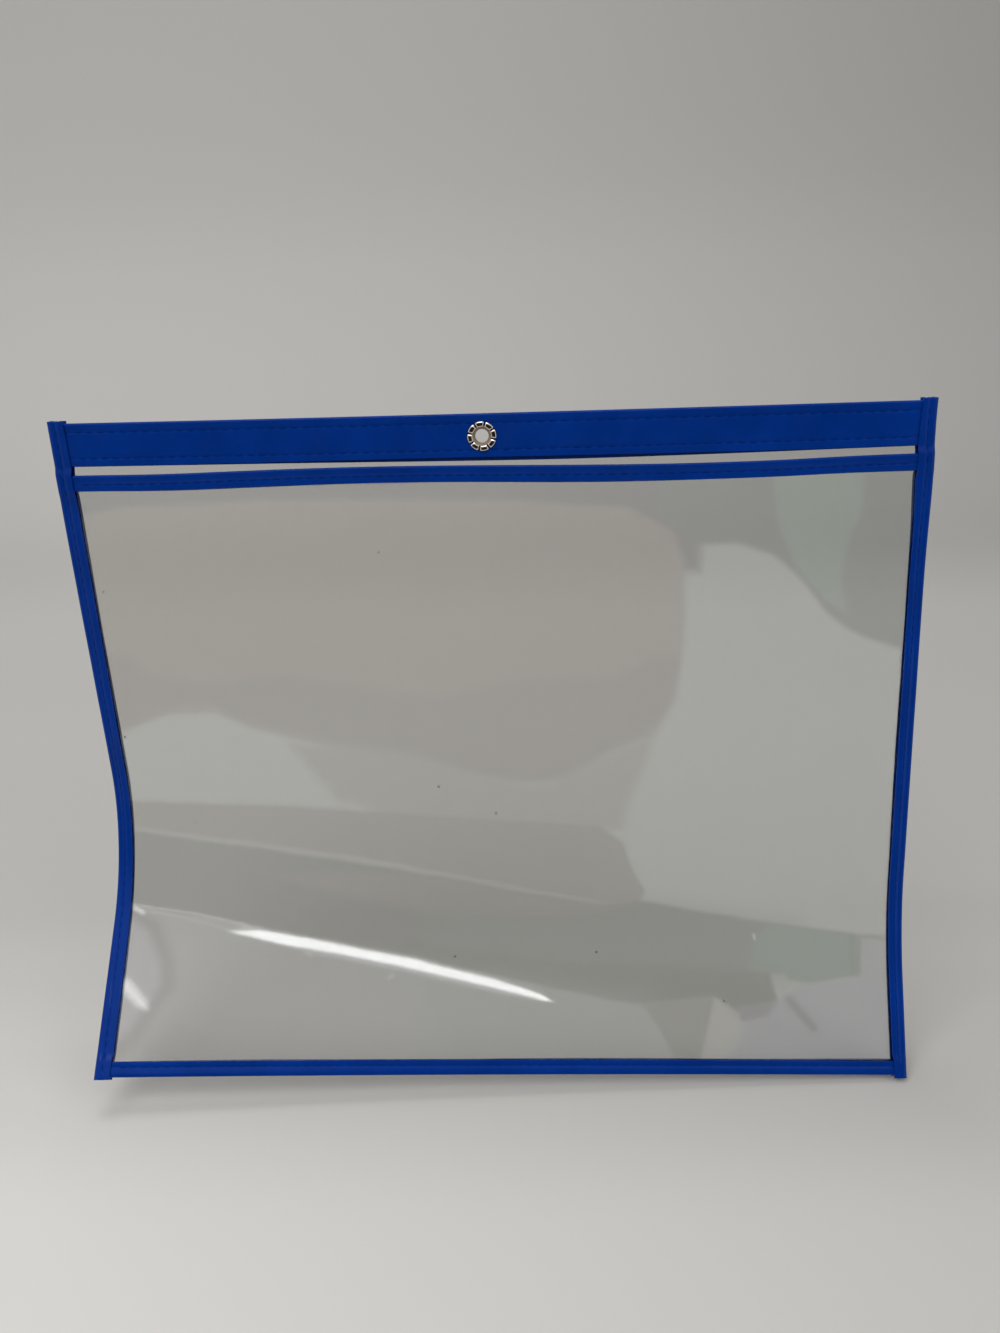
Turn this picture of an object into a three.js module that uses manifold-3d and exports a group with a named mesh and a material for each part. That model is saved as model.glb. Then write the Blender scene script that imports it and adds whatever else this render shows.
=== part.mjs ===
// Clear vinyl document holder: a stitched landscape pocket for a 12 by 9 inch sheet, with
// folded vinyl bindings, a wide header strip and one eyelet to hang it by.
// Millimetres. X runs across, Z up, and the front of the pocket faces -Y.
// The origin is the middle of the eyelet, where the holder hangs.

import * as THREE from 'three';
import { mergeVertices } from 'three/addons/utils/BufferGeometryUtils.js';
import Module from 'manifold-3d';

const wasm = await Module();
wasm.setup();

// Overall size, over the bindings and along the sheet from its top fold to its bottom fold
const width = 324;
const height = 266.8;

// Materials of the layers, and the air between two layers that lie on each other
const filmThickness = 0.25;
const tapeThickness = 0.35;
const layerGap = 0.12;

// Folded strips, as seen from the front
const headerHeight = 15.8;
const mouthGap = 2.9;
const mouthBindingHeight = 6.1;
const bottomBindingHeight = 6.2;
const leftBindingWidth = 6.9;
const rightBindingWidth = 6.1;
const sideOverhang = 0.8;
const edgeInset = 1.2;
const stepMargin = 0.3;
const stepLength = 2.1;

// How the sheet hangs: its two side edges turn forward near the bottom by different amounts
const twistStart = 17;
const twistLength = 60;
const leftTwist = -1;
const rightTwist = 7.5;
const leftBendStart = 140;
const leftBendLength = 68;
const leftBendAngle = 42.5;
const rightBendStart = 185;
const rightBendLength = 42;
const rightBendAngle = 16;
const headerBow = 4;
const bottomBow = -1;

// Eyelet
const eyeletOffset = -2.3;
const eyeletDrop = 8;
const eyeletHoleRadius = 3.15;
const eyeletWall = 0.28;
const eyeletFlangeRadius = 5.2;
const eyeletFlare = 0.45;
const petalCount = 8;
const petalTurn = 9;
const petalReach = 1.9;
const petalRise = 1.2;
const petalTuck = 20;
const petalSlotRoot = 0.2;
const petalSlotTip = 0.95;

// Facets
const columns = 12;
const rowPitch = 6;
const foldSegments = 3;
const eyeletSegments = 48;
const petalSegments = 9;

const colours = { film: 0xd8dad6, tape: 0x0a2f86, metal: 0xb9b4a6 };

// Heights over the middle of the back film: negative is towards the viewer
const filmFace = filmThickness / 2;
const pocketGap = tapeThickness + 2 * layerGap;
const frontFilmBack = -(filmFace + pocketGap);
const frontFilmFront = frontFilmBack - filmThickness;
const underTape = layerGap + tapeThickness + layerGap;

// Distances down the sheet from the top fold
const mouthTop = headerHeight + mouthGap;
const mouthBottom = mouthTop + mouthBindingHeight;
const bottomStripTop = height - bottomBindingHeight;
const filmTop = edgeInset;
const filmBottom = height - edgeInset;
const halfFilm = width / 2 - edgeInset;

const radians = THREE.MathUtils.degToRad;
const lerp = THREE.MathUtils.lerp;
const smoothstep = THREE.MathUtils.smoothstep;

// One side edge seen from the side, as straight runs and arcs of a length and a turn
function edgePath(twist, bendStart, bendLength, bendAngle) {
  const runToBend = Math.max(bendStart - twistStart - twistLength, 0);
  return [
    { length: twistStart, turn: 0 },
    { length: twistLength, turn: radians(twist) },
    { length: runToBend, turn: 0 },
    { length: bendLength, turn: radians(bendAngle) },
    { length: Infinity, turn: 0 },
  ];
}

const leftEdge = edgePath(leftTwist, leftBendStart, leftBendLength, leftBendAngle);
const rightEdge = edgePath(rightTwist, rightBendStart, rightBendLength, rightBendAngle);

// Where an edge has come to after a distance down from the top fold, and which way it points
function walkEdge(path, down) {
  const place = { forward: 0, fall: 0, heading: 0 };
  let left = down;
  for (const run of path) {
    const step = Math.min(left, run.length);
    const turn = run.turn ? (run.turn * step) / run.length : 0;
    const middle = place.heading + turn / 2;
    const chord = Math.abs(turn) > 1e-9 ? (step * Math.sin(turn / 2)) / (turn / 2) : step;
    place.forward += chord * Math.sin(middle);
    place.fall += chord * Math.cos(middle);
    place.heading += turn;
    left -= step;
    if (left <= 0) break;
  }
  return place;
}

// The sheet's middle surface is ruled between the two edges and bowed a little between them
function sheetFrame(across, down) {
  const left = walkEdge(leftEdge, down);
  const right = walkEdge(rightEdge, down);
  const share = across / width + 0.5;
  const reach = (2 * across) / width;
  const bow = lerp(headerBow, bottomBow, smoothstep(down, twistStart, height));
  const point = new THREE.Vector3(
    across,
    -lerp(left.forward, right.forward, share) - bow * (1 - reach * reach),
    -lerp(left.fall, right.fall, share)
  );
  const alongX = new THREE.Vector3(
    1,
    -(right.forward - left.forward) / width + (4 * bow * reach) / width,
    -(right.fall - left.fall) / width
  );
  const alongDown = new THREE.Vector3(
    0,
    -lerp(Math.sin(left.heading), Math.sin(right.heading), share),
    -lerp(Math.cos(left.heading), Math.cos(right.heading), share)
  );
  const back = new THREE.Vector3().crossVectors(alongX, alongDown).normalize();
  return { point, alongX: alongX.normalize(), back };
}

const eyeletFrame = sheetFrame(eyeletOffset, eyeletDrop);

// A point at a height over the sheet, in the holder's own frame
function onSheet(across, down, over) {
  const { point, back } = sheetFrame(across, down);
  return point.addScaledVector(back, over).sub(eyeletFrame.point);
}

// Keeps positions only, merges shared vertices and turns the faces outwards
function closed(geometry) {
  geometry.deleteAttribute('normal');
  geometry.deleteAttribute('uv');
  const merged = mergeVertices(geometry, 1e-5);
  if (volumeOf(merged) < 0) {
    const index = merged.index.array;
    for (let i = 0; i < index.length; i += 3) {
      [index[i], index[i + 1]] = [index[i + 1], index[i]];
    }
  }
  return merged;
}

function volumeOf(geometry) {
  const index = geometry.index.array;
  const position = geometry.attributes.position;
  const corner = [new THREE.Vector3(), new THREE.Vector3(), new THREE.Vector3()];
  let six = 0;
  for (let i = 0; i < index.length; i += 3) {
    corner.forEach((point, k) => point.fromBufferAttribute(position, index[i + k]));
    six += corner[0].dot(corner[1].cross(corner[2]));
  }
  return six / 6;
}

// Moves every vertex of a flat piece to its place on the sheet
function layOnSheet(geometry, place) {
  const position = geometry.attributes.position;
  for (let i = 0; i < position.count; i += 1) {
    const [across, down, over] = place(position.getX(i), position.getY(i), position.getZ(i));
    const point = onSheet(across, down, over);
    position.setXYZ(i, point.x, point.y, point.z);
  }
  return closed(geometry);
}

function toSolid(geometry) {
  return new wasm.Manifold(
    new wasm.Mesh({
      numProp: 3,
      vertProperties: new Float32Array(geometry.attributes.position.array),
      triVerts: new Uint32Array(geometry.index.array),
    })
  );
}

function toGeometry(solid) {
  const mesh = solid.getMesh();
  const geometry = new THREE.BufferGeometry();
  geometry.setAttribute('position', new THREE.BufferAttribute(mesh.vertProperties, 3));
  geometry.setIndex(new THREE.BufferAttribute(mesh.triVerts, 1));
  return geometry;
}

// Distances between a start and an end, with the marks that fall between them
function stations(start, end, marks) {
  const inside = marks.filter((mark) => mark > start + 0.5 && mark < end - 0.5);
  return [start, ...inside.sort((a, b) => a - b), end];
}

const rowMarks = [];
for (let down = rowPitch; down < height; down += rowPitch) {
  rowMarks.push(down);
}
const columnMarks = [];
for (let column = 1; column < columns; column += 1) {
  columnMarks.push((column / columns - 0.5) * width);
}
const columnStations = stations(-halfFilm, halfFilm, columnMarks);

// A flat film between two heights over the sheet
function film(top, bottom, over, under) {
  const rows = stations(top, bottom, rowMarks);
  const columnSteps = columnStations.length - 1;
  const rowSteps = rows.length - 1;
  const slab = new THREE.BoxGeometry(columnSteps, rowSteps, 1, columnSteps, rowSteps, 1);
  return layOnSheet(slab, (x, y, z) => [
    columnStations[Math.round(x + columnSteps / 2)],
    rows[Math.round(y + rowSteps / 2)],
    z < 0 ? over : under,
  ]);
}

// Section of a strip folded over an edge. x runs in from the fold, and y is the height over
// the sheet. The legs' inner faces lie at the heights front and back.
function foldedSection(reach, front, back) {
  const middle = (front + back) / 2;
  const inside = (back - front) / 2;
  const outside = inside + tapeThickness;
  const quarter = Math.PI / 2;
  const shape = new THREE.Shape();
  shape.moveTo(reach, middle - outside);
  shape.lineTo(outside, middle - outside);
  shape.absarc(outside, middle, outside, -quarter, quarter, true);
  shape.lineTo(reach, middle + outside);
  shape.lineTo(reach, middle + inside);
  shape.lineTo(outside, middle + inside);
  shape.absarc(outside, middle, inside, quarter, -quarter, false);
  shape.lineTo(reach, middle - inside);
  shape.closePath();
  return shape;
}

function extruded(shape, steps) {
  return new THREE.ExtrudeGeometry(shape, {
    depth: steps,
    steps,
    bevelEnabled: false,
    curveSegments: foldSegments,
  });
}

// A strip folded over an edge that runs across the sheet: sign is 1 where the strip
// reaches down from its fold and -1 where it reaches up
function crossStrip(fold, sign, reach, front, back) {
  const steps = columnStations.length - 1;
  const strip = extruded(foldedSection(reach, front, back), steps);
  return layOnSheet(strip, (x, y, z) => [
    columnStations[Math.round(z)],
    fold + sign * x,
    y,
  ]);
}

// The heights at which a side binding's legs lie on what they cover: the header, the mouth
// binding and the bottom binding lift them, and they step down between
const overHeader = [-(filmFace + underTape), filmFace + underTape];
const overMouth = [frontFilmFront - underTape, filmFace + layerGap];
const overFilms = [frontFilmFront - layerGap, filmFace + layerGap];
const overBottom = [frontFilmFront - underTape, filmFace + underTape];
const seats = [
  { down: -sideOverhang, legs: overHeader },
  { down: headerHeight + stepMargin, legs: overHeader },
  { down: mouthTop - stepMargin, legs: overMouth },
  { down: mouthBottom + stepMargin, legs: overMouth },
  { down: mouthBottom + stepMargin + stepLength, legs: overFilms },
  { down: bottomStripTop - stepMargin - stepLength, legs: overFilms },
  { down: bottomStripTop - stepMargin, legs: overBottom },
  { down: height + sideOverhang, legs: overBottom },
];

function legsAt(down) {
  const next = seats.findIndex((seat) => seat.down > down);
  if (next === 0) return seats[0].legs;
  if (next < 0) return seats[seats.length - 1].legs;
  const [upper, lower] = [seats[next - 1], seats[next]];
  const share = (down - upper.down) / (lower.down - upper.down);
  return upper.legs.map((height, side) => lerp(height, lower.legs[side], share));
}

// A strip folded over a side edge. Its fold opens and closes as its legs step over the
// strips that cross it: side is -1 on the left and 1 on the right.
function sideBinding(side, reach) {
  const [front, back] = overFilms;
  const middle = (front + back) / 2;
  const inside = (back - front) / 2;
  const centre = inside + tapeThickness;
  const stepMarks = seats.map((seat) => seat.down);
  const farMarks = rowMarks.filter((row) => stepMarks.every((mark) => Math.abs(mark - row) > 1));
  const rows = stations(-sideOverhang, height + sideOverhang, [...farMarks, ...stepMarks]);
  const steps = rows.length - 1;
  const strip = extruded(foldedSection(reach, front, back), steps);
  return layOnSheet(strip, (x, y, z) => {
    const down = rows[Math.round(z)];
    const [legFront, legBack] = legsAt(down);
    const grow = (legBack - legFront) / 2 - inside;
    const rise = y - middle;
    const run = Math.min(x - centre, 0);
    const radius = Math.hypot(run, rise);
    const scale = (radius + grow) / radius;
    const inward = x < centre ? centre + grow + run * scale : x;
    return [side * (width / 2 - inward), down, (legFront + legBack) / 2 + rise * scale];
  });
}

// The tube of the eyelet, with its flange at the back and its front end curled outwards,
// drawn as radius and height over the sheet towards the viewer
const tapeFace = filmFace + layerGap + tapeThickness;
const eyeletSeat = tapeFace + layerGap;

function eyeletProfile() {
  const curlWidth = petalReach / 2;
  const curlHeight = petalRise / 2;
  const curlCentre = eyeletHoleRadius + curlWidth;
  const tuck = radians(petalTuck);
  const curlBase = eyeletSeat + curlHeight * Math.sin(tuck);
  const outerWall = eyeletHoleRadius + eyeletWall;
  const flangeBack = -(eyeletSeat + eyeletWall);
  const rim = eyeletWall / 2;
  const points = [];
  const addArc = (x, y, radiusX, radiusY, from, to, count) => {
    for (let i = 0; i <= count; i += 1) {
      const angle = lerp(from, to, i / count);
      const turnX = x + radiusX * Math.cos(angle);
      points.push(new THREE.Vector2(turnX, y + radiusY * Math.sin(angle)));
    }
  };
  const quarter = Math.PI / 2;
  const flareX = eyeletHoleRadius + eyeletFlare;
  addArc(eyeletFlangeRadius - rim, flangeBack + rim, rim, rim, quarter, -quarter, 4);
  addArc(flareX, flangeBack + eyeletFlare, eyeletFlare, eyeletFlare, -quarter, -2 * quarter, 4);
  addArc(curlCentre, curlBase, curlWidth, curlHeight, Math.PI, -tuck, petalSegments);
  const innerWidth = curlWidth - eyeletWall;
  const innerHeight = curlHeight - eyeletWall;
  addArc(curlCentre, curlBase, innerWidth, innerHeight, -tuck, Math.PI, petalSegments);
  points.push(new THREE.Vector2(outerWall, -eyeletSeat));
  points.push(points[0].clone());
  return points;
}

// The V-shaped split between two petals, seen from the front
function petalSlot(angle) {
  const shape = new THREE.Shape();
  const inner = eyeletHoleRadius - eyeletWall;
  const outer = eyeletHoleRadius + petalReach + 1;
  shape.moveTo(inner, -petalSlotRoot);
  shape.lineTo(outer, -petalSlotTip);
  shape.lineTo(outer, petalSlotTip);
  shape.lineTo(inner, petalSlotRoot);
  shape.closePath();
  const slot = new THREE.ExtrudeGeometry(shape, { depth: petalRise * 2, bevelEnabled: false });
  slot.translate(0, 0, eyeletSeat);
  slot.rotateZ(angle);
  return closed(slot);
}

function eyelet() {
  const tube = new THREE.LatheGeometry(eyeletProfile(), eyeletSegments);
  tube.rotateX(Math.PI / 2);
  let solid = toSolid(closed(tube));
  for (let i = 0; i < petalCount; i += 1) {
    const angle = radians(petalTurn) + ((i + 0.5) / petalCount) * 2 * Math.PI;
    solid = solid.subtract(toSolid(petalSlot(angle)));
  }
  return toGeometry(solid);
}

// The eyelet's own axes: across the sheet, up it, and out towards the viewer
const eyeletAxes = new THREE.Matrix4().makeBasis(
  eyeletFrame.alongX,
  new THREE.Vector3().crossVectors(eyeletFrame.alongX, eyeletFrame.back),
  eyeletFrame.back.clone().negate()
);

function withEyeletHole(geometry) {
  const radius = eyeletHoleRadius + eyeletWall + layerGap;
  const cutter = new THREE.CylinderGeometry(radius, radius, 4 * eyeletSeat, eyeletSegments);
  cutter.rotateX(Math.PI / 2);
  cutter.applyMatrix4(eyeletAxes);
  return toGeometry(toSolid(geometry).subtract(toSolid(closed(cutter))));
}

const filmMaterial = {
  color: colours.film,
  roughness: 0.12,
  metalness: 0,
  transparent: true,
  opacity: 0.3,
};
const tapeMaterial = { color: colours.tape, roughness: 0.42, metalness: 0 };
const metalMaterial = { color: colours.metal, roughness: 0.25, metalness: 1 };

function part(name, geometry, material) {
  const mesh = new THREE.Mesh(geometry, new THREE.MeshStandardMaterial(material));
  mesh.name = name;
  return mesh;
}

const holder = new THREE.Group();
const tapeInner = filmFace + layerGap;

const backFilm = film(filmTop, filmBottom, -filmFace, filmFace);
holder.add(part('back_film', withEyeletHole(backFilm), filmMaterial));

const frontFilm = film(mouthTop + edgeInset, filmBottom, frontFilmFront, frontFilmBack);
holder.add(part('front_film', frontFilm, filmMaterial));

const header = crossStrip(0, 1, headerHeight, -tapeInner, tapeInner);
holder.add(part('header_strip', withEyeletHole(header), tapeMaterial));

const mouthFront = frontFilmFront - layerGap;
const mouthBack = frontFilmBack + layerGap;
const mouth = crossStrip(mouthTop, 1, mouthBindingHeight, mouthFront, mouthBack);
holder.add(part('mouth_binding', mouth, tapeMaterial));

const bottom = crossStrip(height, -1, bottomBindingHeight, frontFilmFront - layerGap, tapeInner);
holder.add(part('bottom_binding', bottom, tapeMaterial));

holder.add(part('left_binding', sideBinding(-1, leftBindingWidth), tapeMaterial));
holder.add(part('right_binding', sideBinding(1, rightBindingWidth), tapeMaterial));

const ring = part('eyelet', eyelet(), metalMaterial);
ring.quaternion.setFromRotationMatrix(eyeletAxes);
holder.add(ring);

export default holder;
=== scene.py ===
"""Looks of a clear vinyl document holder: two clear films in stitched blue vinyl bindings.

Every piece is modelled flat, as distances across the sheet, down it and over it, and is then
laid on the bent sheet that the holder's solids follow. Metres, in the holder's own frame.
"""

import math

import bmesh  # noqa: E402
import bpy  # noqa: E402
import numpy as np  # noqa: E402
from mathutils import Matrix, Vector  # noqa: E402


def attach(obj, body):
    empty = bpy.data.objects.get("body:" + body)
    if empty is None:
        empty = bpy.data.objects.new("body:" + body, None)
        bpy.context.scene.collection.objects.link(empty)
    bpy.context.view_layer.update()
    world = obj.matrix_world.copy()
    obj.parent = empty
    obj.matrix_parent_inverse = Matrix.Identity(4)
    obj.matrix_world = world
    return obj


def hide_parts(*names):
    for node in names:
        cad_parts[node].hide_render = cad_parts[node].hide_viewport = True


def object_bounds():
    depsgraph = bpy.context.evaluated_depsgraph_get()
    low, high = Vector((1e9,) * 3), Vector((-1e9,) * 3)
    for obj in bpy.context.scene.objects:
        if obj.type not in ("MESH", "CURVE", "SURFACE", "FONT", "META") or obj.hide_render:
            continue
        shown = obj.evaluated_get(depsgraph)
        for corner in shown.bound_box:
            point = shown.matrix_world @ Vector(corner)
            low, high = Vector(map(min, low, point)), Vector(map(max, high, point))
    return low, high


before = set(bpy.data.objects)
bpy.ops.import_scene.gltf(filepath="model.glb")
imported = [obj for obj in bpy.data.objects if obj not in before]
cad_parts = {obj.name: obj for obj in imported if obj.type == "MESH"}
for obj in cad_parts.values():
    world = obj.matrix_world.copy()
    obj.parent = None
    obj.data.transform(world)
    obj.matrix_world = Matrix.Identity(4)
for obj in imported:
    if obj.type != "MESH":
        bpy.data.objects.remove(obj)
CAD_BOX = [list(corner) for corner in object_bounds()]

bl_info = {
    "name": "Clear Document Holder",
    "version": (1, 0, 0),
    "blender": (4, 5, 0),
    "location": "3D View > Sidebar > Holder",
    "description": "Adds a clear vinyl document holder: films, sewn bindings and eyelet",
    "category": "Add Mesh",
}

MM = 0.001
BODY = "root"

# How the sheet hangs: its side edges run straight, twist, run straight and bend forward
TWIST_START = 17 * MM
TWIST_LENGTH = 60 * MM
LEFT_EDGE = (math.radians(-1), 140 * MM, 68 * MM, math.radians(42.5))
RIGHT_EDGE = (math.radians(7.5), 185 * MM, 42 * MM, math.radians(16))
HEADER_BOW = 4 * MM
BOTTOM_BOW = -1 * MM
EYELET_ACROSS = -2.3 * MM
EYELET_DOWN = 8 * MM

# Layers, and the air between two that lie on each other
LAYER_GAP = 0.12 * MM
EDGE_INSET = 1.2 * MM
SIDE_OVERHANG = 0.8 * MM
MOUTH_GAP = 2.9 * MM
STEP_MARGIN = 0.3 * MM
STEP_LENGTH = 2.1 * MM
FILM_CELL = 2 * MM

# Slack of the sheet between its bindings, how far its top right is drawn in, and how far the
# front film stands off by the pocket's mouth
SLACK = 0.12 * MM
FINE_SLACK = 0.012 * MM
TOP_DRAW = 1.4 * MM
MOUTH_GAPE = 0.45 * MM

# Waves of the mouth and of the header's cut edge
MOUTH_WAVE = 0.85 * MM
HEADER_WAVE = 0.35 * MM

# Folded strips: how much wider a fold stands than its legs, how much longer the back legs are,
# how far a side strip's inner edge strays, and the rounding of the vinyl's edges
HEADER_BULGE = 0.15 * MM
MOUTH_BULGE = 0.12 * MM
NARROW_BULGE = 0.1 * MM
HEADER_BACK = 0.25 * MM
HEADER_BACK_MIDDLE = 1.3 * MM
NARROW_BACK = 0.3 * MM
LEFT_WAVE = 0.25 * MM
RIGHT_LAP = 1.2 * MM
EDGE_ROUNDING = 0.06 * MM

# Sewn rows: their distances in from a strip's fold, what they leave free at the ends, how wide
# a row pulls the vinyl in, and the share of its thickness by which a thread stands off it
HEADER_SEAMS = (3.3 * MM, 12.8 * MM)
MOUTH_SEAMS = (3.4 * MM,)
BOTTOM_SEAMS = (3.8 * MM,)
SIDE_SEAM = 3.2 * MM
SEAM_END = 8 * MM
ROW_SPREAD = 0.55 * MM
THREAD_LIFT = 0.3

# The eyelet's petals: their number, turn, curl and roundness, the height of their middle as a
# share of their rise, how far they drop at their sides, and the slots between them
PETALS = 8
PETAL_TURN = math.radians(9)
PETAL_CURL = math.radians(205)
PETAL_ROUNDNESS = 0.78
PETAL_MIDDLE = 0.34
PETAL_CROWN = 0.34 * MM
SLOT_WIDTH = 0.30 * MM
SLOT_GROWTH = 0.45 * MM
THROAT_LIP = 0.25 * MM
THROAT_FLARE = 0.45 * MM
CUTTER_LENGTH = 12 * MM

# How strongly the film bends light
FILM_INDEX = 1.54

# Where the camera stands, and which way it looks
CAMERA_PLACE = Vector((17.3, -366.9, 46.5)) * MM
CAMERA_RIGHT = Vector((0.9992, 0.0256, -0.0295))
CAMERA_FORWARD = Vector((-0.0342, 0.9377, -0.3458))


def size(name, description, value):
    """A length in millimetres that the user may change."""
    return bpy.props.FloatProperty(
        name=name,
        description=description,
        default=value * MM,
        subtype="DISTANCE",
        unit="LENGTH",
        precision=5,
    )


def colour(name, description, value):
    """A linear colour that the user may change."""
    return bpy.props.FloatVectorProperty(
        name=name,
        description=description,
        default=value,
        size=3,
        min=0,
        max=1,
        subtype="COLOR",
    )


def amount(name, description, value):
    """A plain number that the user may change."""
    return bpy.props.FloatProperty(name=name, description=description, default=value, min=0)


class HolderSizes(bpy.types.PropertyGroup):
    """Sizes of the films and of the folded strips"""

    width: size("Width", "Width over the side bindings", 324)
    height: size("Height", "Length of the sheet from its top fold to its bottom fold", 266.8)
    film: size("Film", "Thickness of each clear film", 0.25)
    tape: size("Tape", "Thickness of the binding vinyl", 0.35)
    header: size("Header", "Height of the header strip", 15.8)
    mouth: size("Mouth binding", "Height of the strip along the pocket's mouth", 6.1)
    bottom: size("Bottom binding", "Height of the strip along the bottom", 6.2)
    left: size("Left binding", "Width of the left strip", 6.9)
    right: size("Right binding", "Width of the right strip", 6.1)


class HolderSeams(bpy.types.PropertyGroup):
    """Sizes of the sewn rows"""

    pitch: size("Pitch", "Length from one stitch to the next", 4.25)
    thread: size("Thread", "Diameter of the sewing thread", 0.3)
    pull: size("Pull", "How deep a row pulls the vinyl in", 0.2)


class HolderEyelet(bpy.types.PropertyGroup):
    """Sizes of the metal eyelet"""

    hole: size("Hole", "Radius of the barrel's bore in the header", 3.15)
    throat: size("Throat", "Radius inside the petals", 3.35)
    narrow: size("Narrow", "Radius of the hole that one sees through", 2.4)
    wall: size("Wall", "Thickness of its metal", 0.28)
    flange: size("Flange", "Radius of the flange at the back", 5.2)
    reach: size("Petal reach", "How far a petal curls outwards", 1.95)
    rise: size("Petal rise", "How high a petal stands over the header", 1.2)


class HolderColours(bpy.types.PropertyGroup):
    """Colours of the finishes"""

    # The film's grey is partly its own tint and partly painted shade: it lets through less light
    # than clear vinyl, standing in for the shade that films close to a wall cast on it
    film: colour("Film", "Light that one face of the film lets through", (0.905, 0.905, 0.901))
    tape: colour("Binding", "Blue of the binding vinyl", (0.0003, 0.0240, 0.190))
    tape_dark: colour("Binding, dark", "Blue in its darker places", (0.0002, 0.0190, 0.150))
    thread: colour("Thread", "Blue of the sewing thread", (0.0003, 0.021, 0.170))
    metal: colour("Metal", "Plated metal of the eyelet", (0.66, 0.63, 0.56))
    brass: colour("Brass", "Metal where the plating is worn", (0.45, 0.28, 0.13))
    tarnish: colour("Tarnish", "Dull brown metal inside the throat", (0.20, 0.145, 0.11))
    floor: colour("Floor", "Floor in front", (0.472, 0.460, 0.441))
    wall: colour("Backdrop", "Backdrop behind", (0.34, 0.335, 0.32))


class HolderStage(bpy.types.PropertyGroup):
    """Light round the holder"""

    sky: amount("Sky", "Strength of the light from all round", 0.55)
    seen: amount("Seen sky", "Strength at which the sky shows in reflections", 0.85)
    key: amount("Key lamp", "Power of the large soft lamp, in watts", 30)
    fill: amount("Fill lamp", "Power of the soft lamp on the other side, in watts", 10)
    top: amount("Top lamp", "Power of the soft lamp overhead, in watts", 9)


def settings():
    """The scene's own groups of sizes, seams, eyelet, colours and stage."""
    scene = bpy.context.scene
    return (
        scene.holder_sizes,
        scene.holder_seams,
        scene.holder_eyelet,
        scene.holder_colours,
        scene.holder_stage,
    )


# The bent sheet


def smooth(value, low, high):
    """0 below low, 1 above high and an easy curve between them."""
    share = np.clip((value - low) / (high - low), 0, 1)
    return share * share * (3 - 2 * share)


def walk_edge(down, twist, bend_start, bend_length, bend):
    """How far a side edge has come forward and down, and its slope, at each distance down."""
    runs = (
        (TWIST_START, 0.0),
        (TWIST_LENGTH, twist),
        (bend_start - TWIST_START - TWIST_LENGTH, 0.0),
        (bend_length, bend),
        (1.0, 0.0),
    )
    forward = np.zeros_like(down)
    fall = np.zeros_like(down)
    slope = np.zeros_like(down)
    left = down.copy()
    for index, (length, turn) in enumerate(runs):
        step = np.minimum(left, length)
        if index:
            step = np.maximum(step, 0)
        part = turn * step / length
        chord = step * np.sinc(part / (2 * math.pi))
        forward = forward + chord * np.sin(slope + part / 2)
        fall = fall + chord * np.cos(slope + part / 2)
        slope = slope + part
        left = left - step
    return forward, fall, slope


def sheet(across, down):
    """Points of the bent sheet, its direction across and its direction to the back."""
    sizes = bpy.context.scene.holder_sizes
    left = walk_edge(down, *LEFT_EDGE)
    right = walk_edge(down, *RIGHT_EDGE)
    share = across / sizes.width + 0.5
    reach = 2 * across / sizes.width
    bow = HEADER_BOW + (BOTTOM_BOW - HEADER_BOW) * smooth(down, TWIST_START, sizes.height)

    def between(a, b):
        return a + (b - a) * share

    point = np.stack(
        (
            across,
            -between(left[0], right[0]) - bow * (1 - reach * reach),
            -between(left[1], right[1]),
        ),
        axis=1,
    )
    along_x = np.stack(
        (
            np.ones_like(across),
            (left[0] - right[0]) / sizes.width + 4 * bow * reach / sizes.width,
            (left[1] - right[1]) / sizes.width,
        ),
        axis=1,
    )
    along_down = np.stack(
        (
            np.zeros_like(across),
            -between(np.sin(left[2]), np.sin(right[2])),
            -between(np.cos(left[2]), np.cos(right[2])),
        ),
        axis=1,
    )
    back = np.cross(along_x, along_down)
    back /= np.linalg.norm(back, axis=1)[:, None]
    along_x /= np.linalg.norm(along_x, axis=1)[:, None]
    return point, along_x, back


def eyelet_frame():
    """The eyelet's place on the sheet, with its directions across, up and to the viewer."""
    point, along_x, back = sheet(np.array([EYELET_ACROSS]), np.array([EYELET_DOWN]))
    return point[0], along_x[0], np.cross(along_x[0], back[0]), -back[0]


def ripple(across, down):
    """The slack of the whole sheet between its bindings, towards the back."""
    sizes = bpy.context.scene.holder_sizes
    calm_top = smooth(down, 0.02, 0.07)
    calm_bottom = 1 - smooth(down, sizes.height - 0.05, sizes.height - 0.01)
    calm_side = 1 - smooth(np.abs(across), 0.120, 0.154)
    long_wave = np.sin(across * 31 + down * 13 + 0.4) * np.sin(down * 27 - 0.6)
    short_wave = np.sin(across * 83 - down * 41 + 1.1) * np.sin(down * 61 + across * 24)
    return calm_top * calm_bottom * calm_side * (SLACK * long_wave + FINE_SLACK * short_wave)


def lay(across, down, over):
    """Points over the bent sheet in the holder's own frame."""
    draw = TOP_DRAW * smooth(across, 0.06, 0.16) * (1 - smooth(down, 0.0, 0.035))
    point, _, back = sheet(across - draw, down)
    origin = eyelet_frame()[0]
    return point + back * (over + ripple(across, down))[:, None] - origin


def gape(across, down):
    """How far the front film stands off the back film, towards the viewer, by its mouth."""
    calm_side = 1 - smooth(np.abs(across - 0.03), 0.0, 0.125)
    return MOUTH_GAPE * calm_side * (1 - smooth(down, 0.02, 0.13))


def mouth_wave(across):
    """How much lower than a straight line the mouth runs."""
    wave = MOUTH_WAVE * np.sin((across - 0.018) * 25.0)
    return wave * (1 - 0.75 * smooth(np.abs(across), 0.105, 0.15))


def header_wave(across):
    """How much lower than a straight line the header's cut edge runs."""
    return HEADER_WAVE * np.sin((across - 0.03) * 21.0) * smooth(across, -0.17, 0.02)


# Meshes


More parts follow.
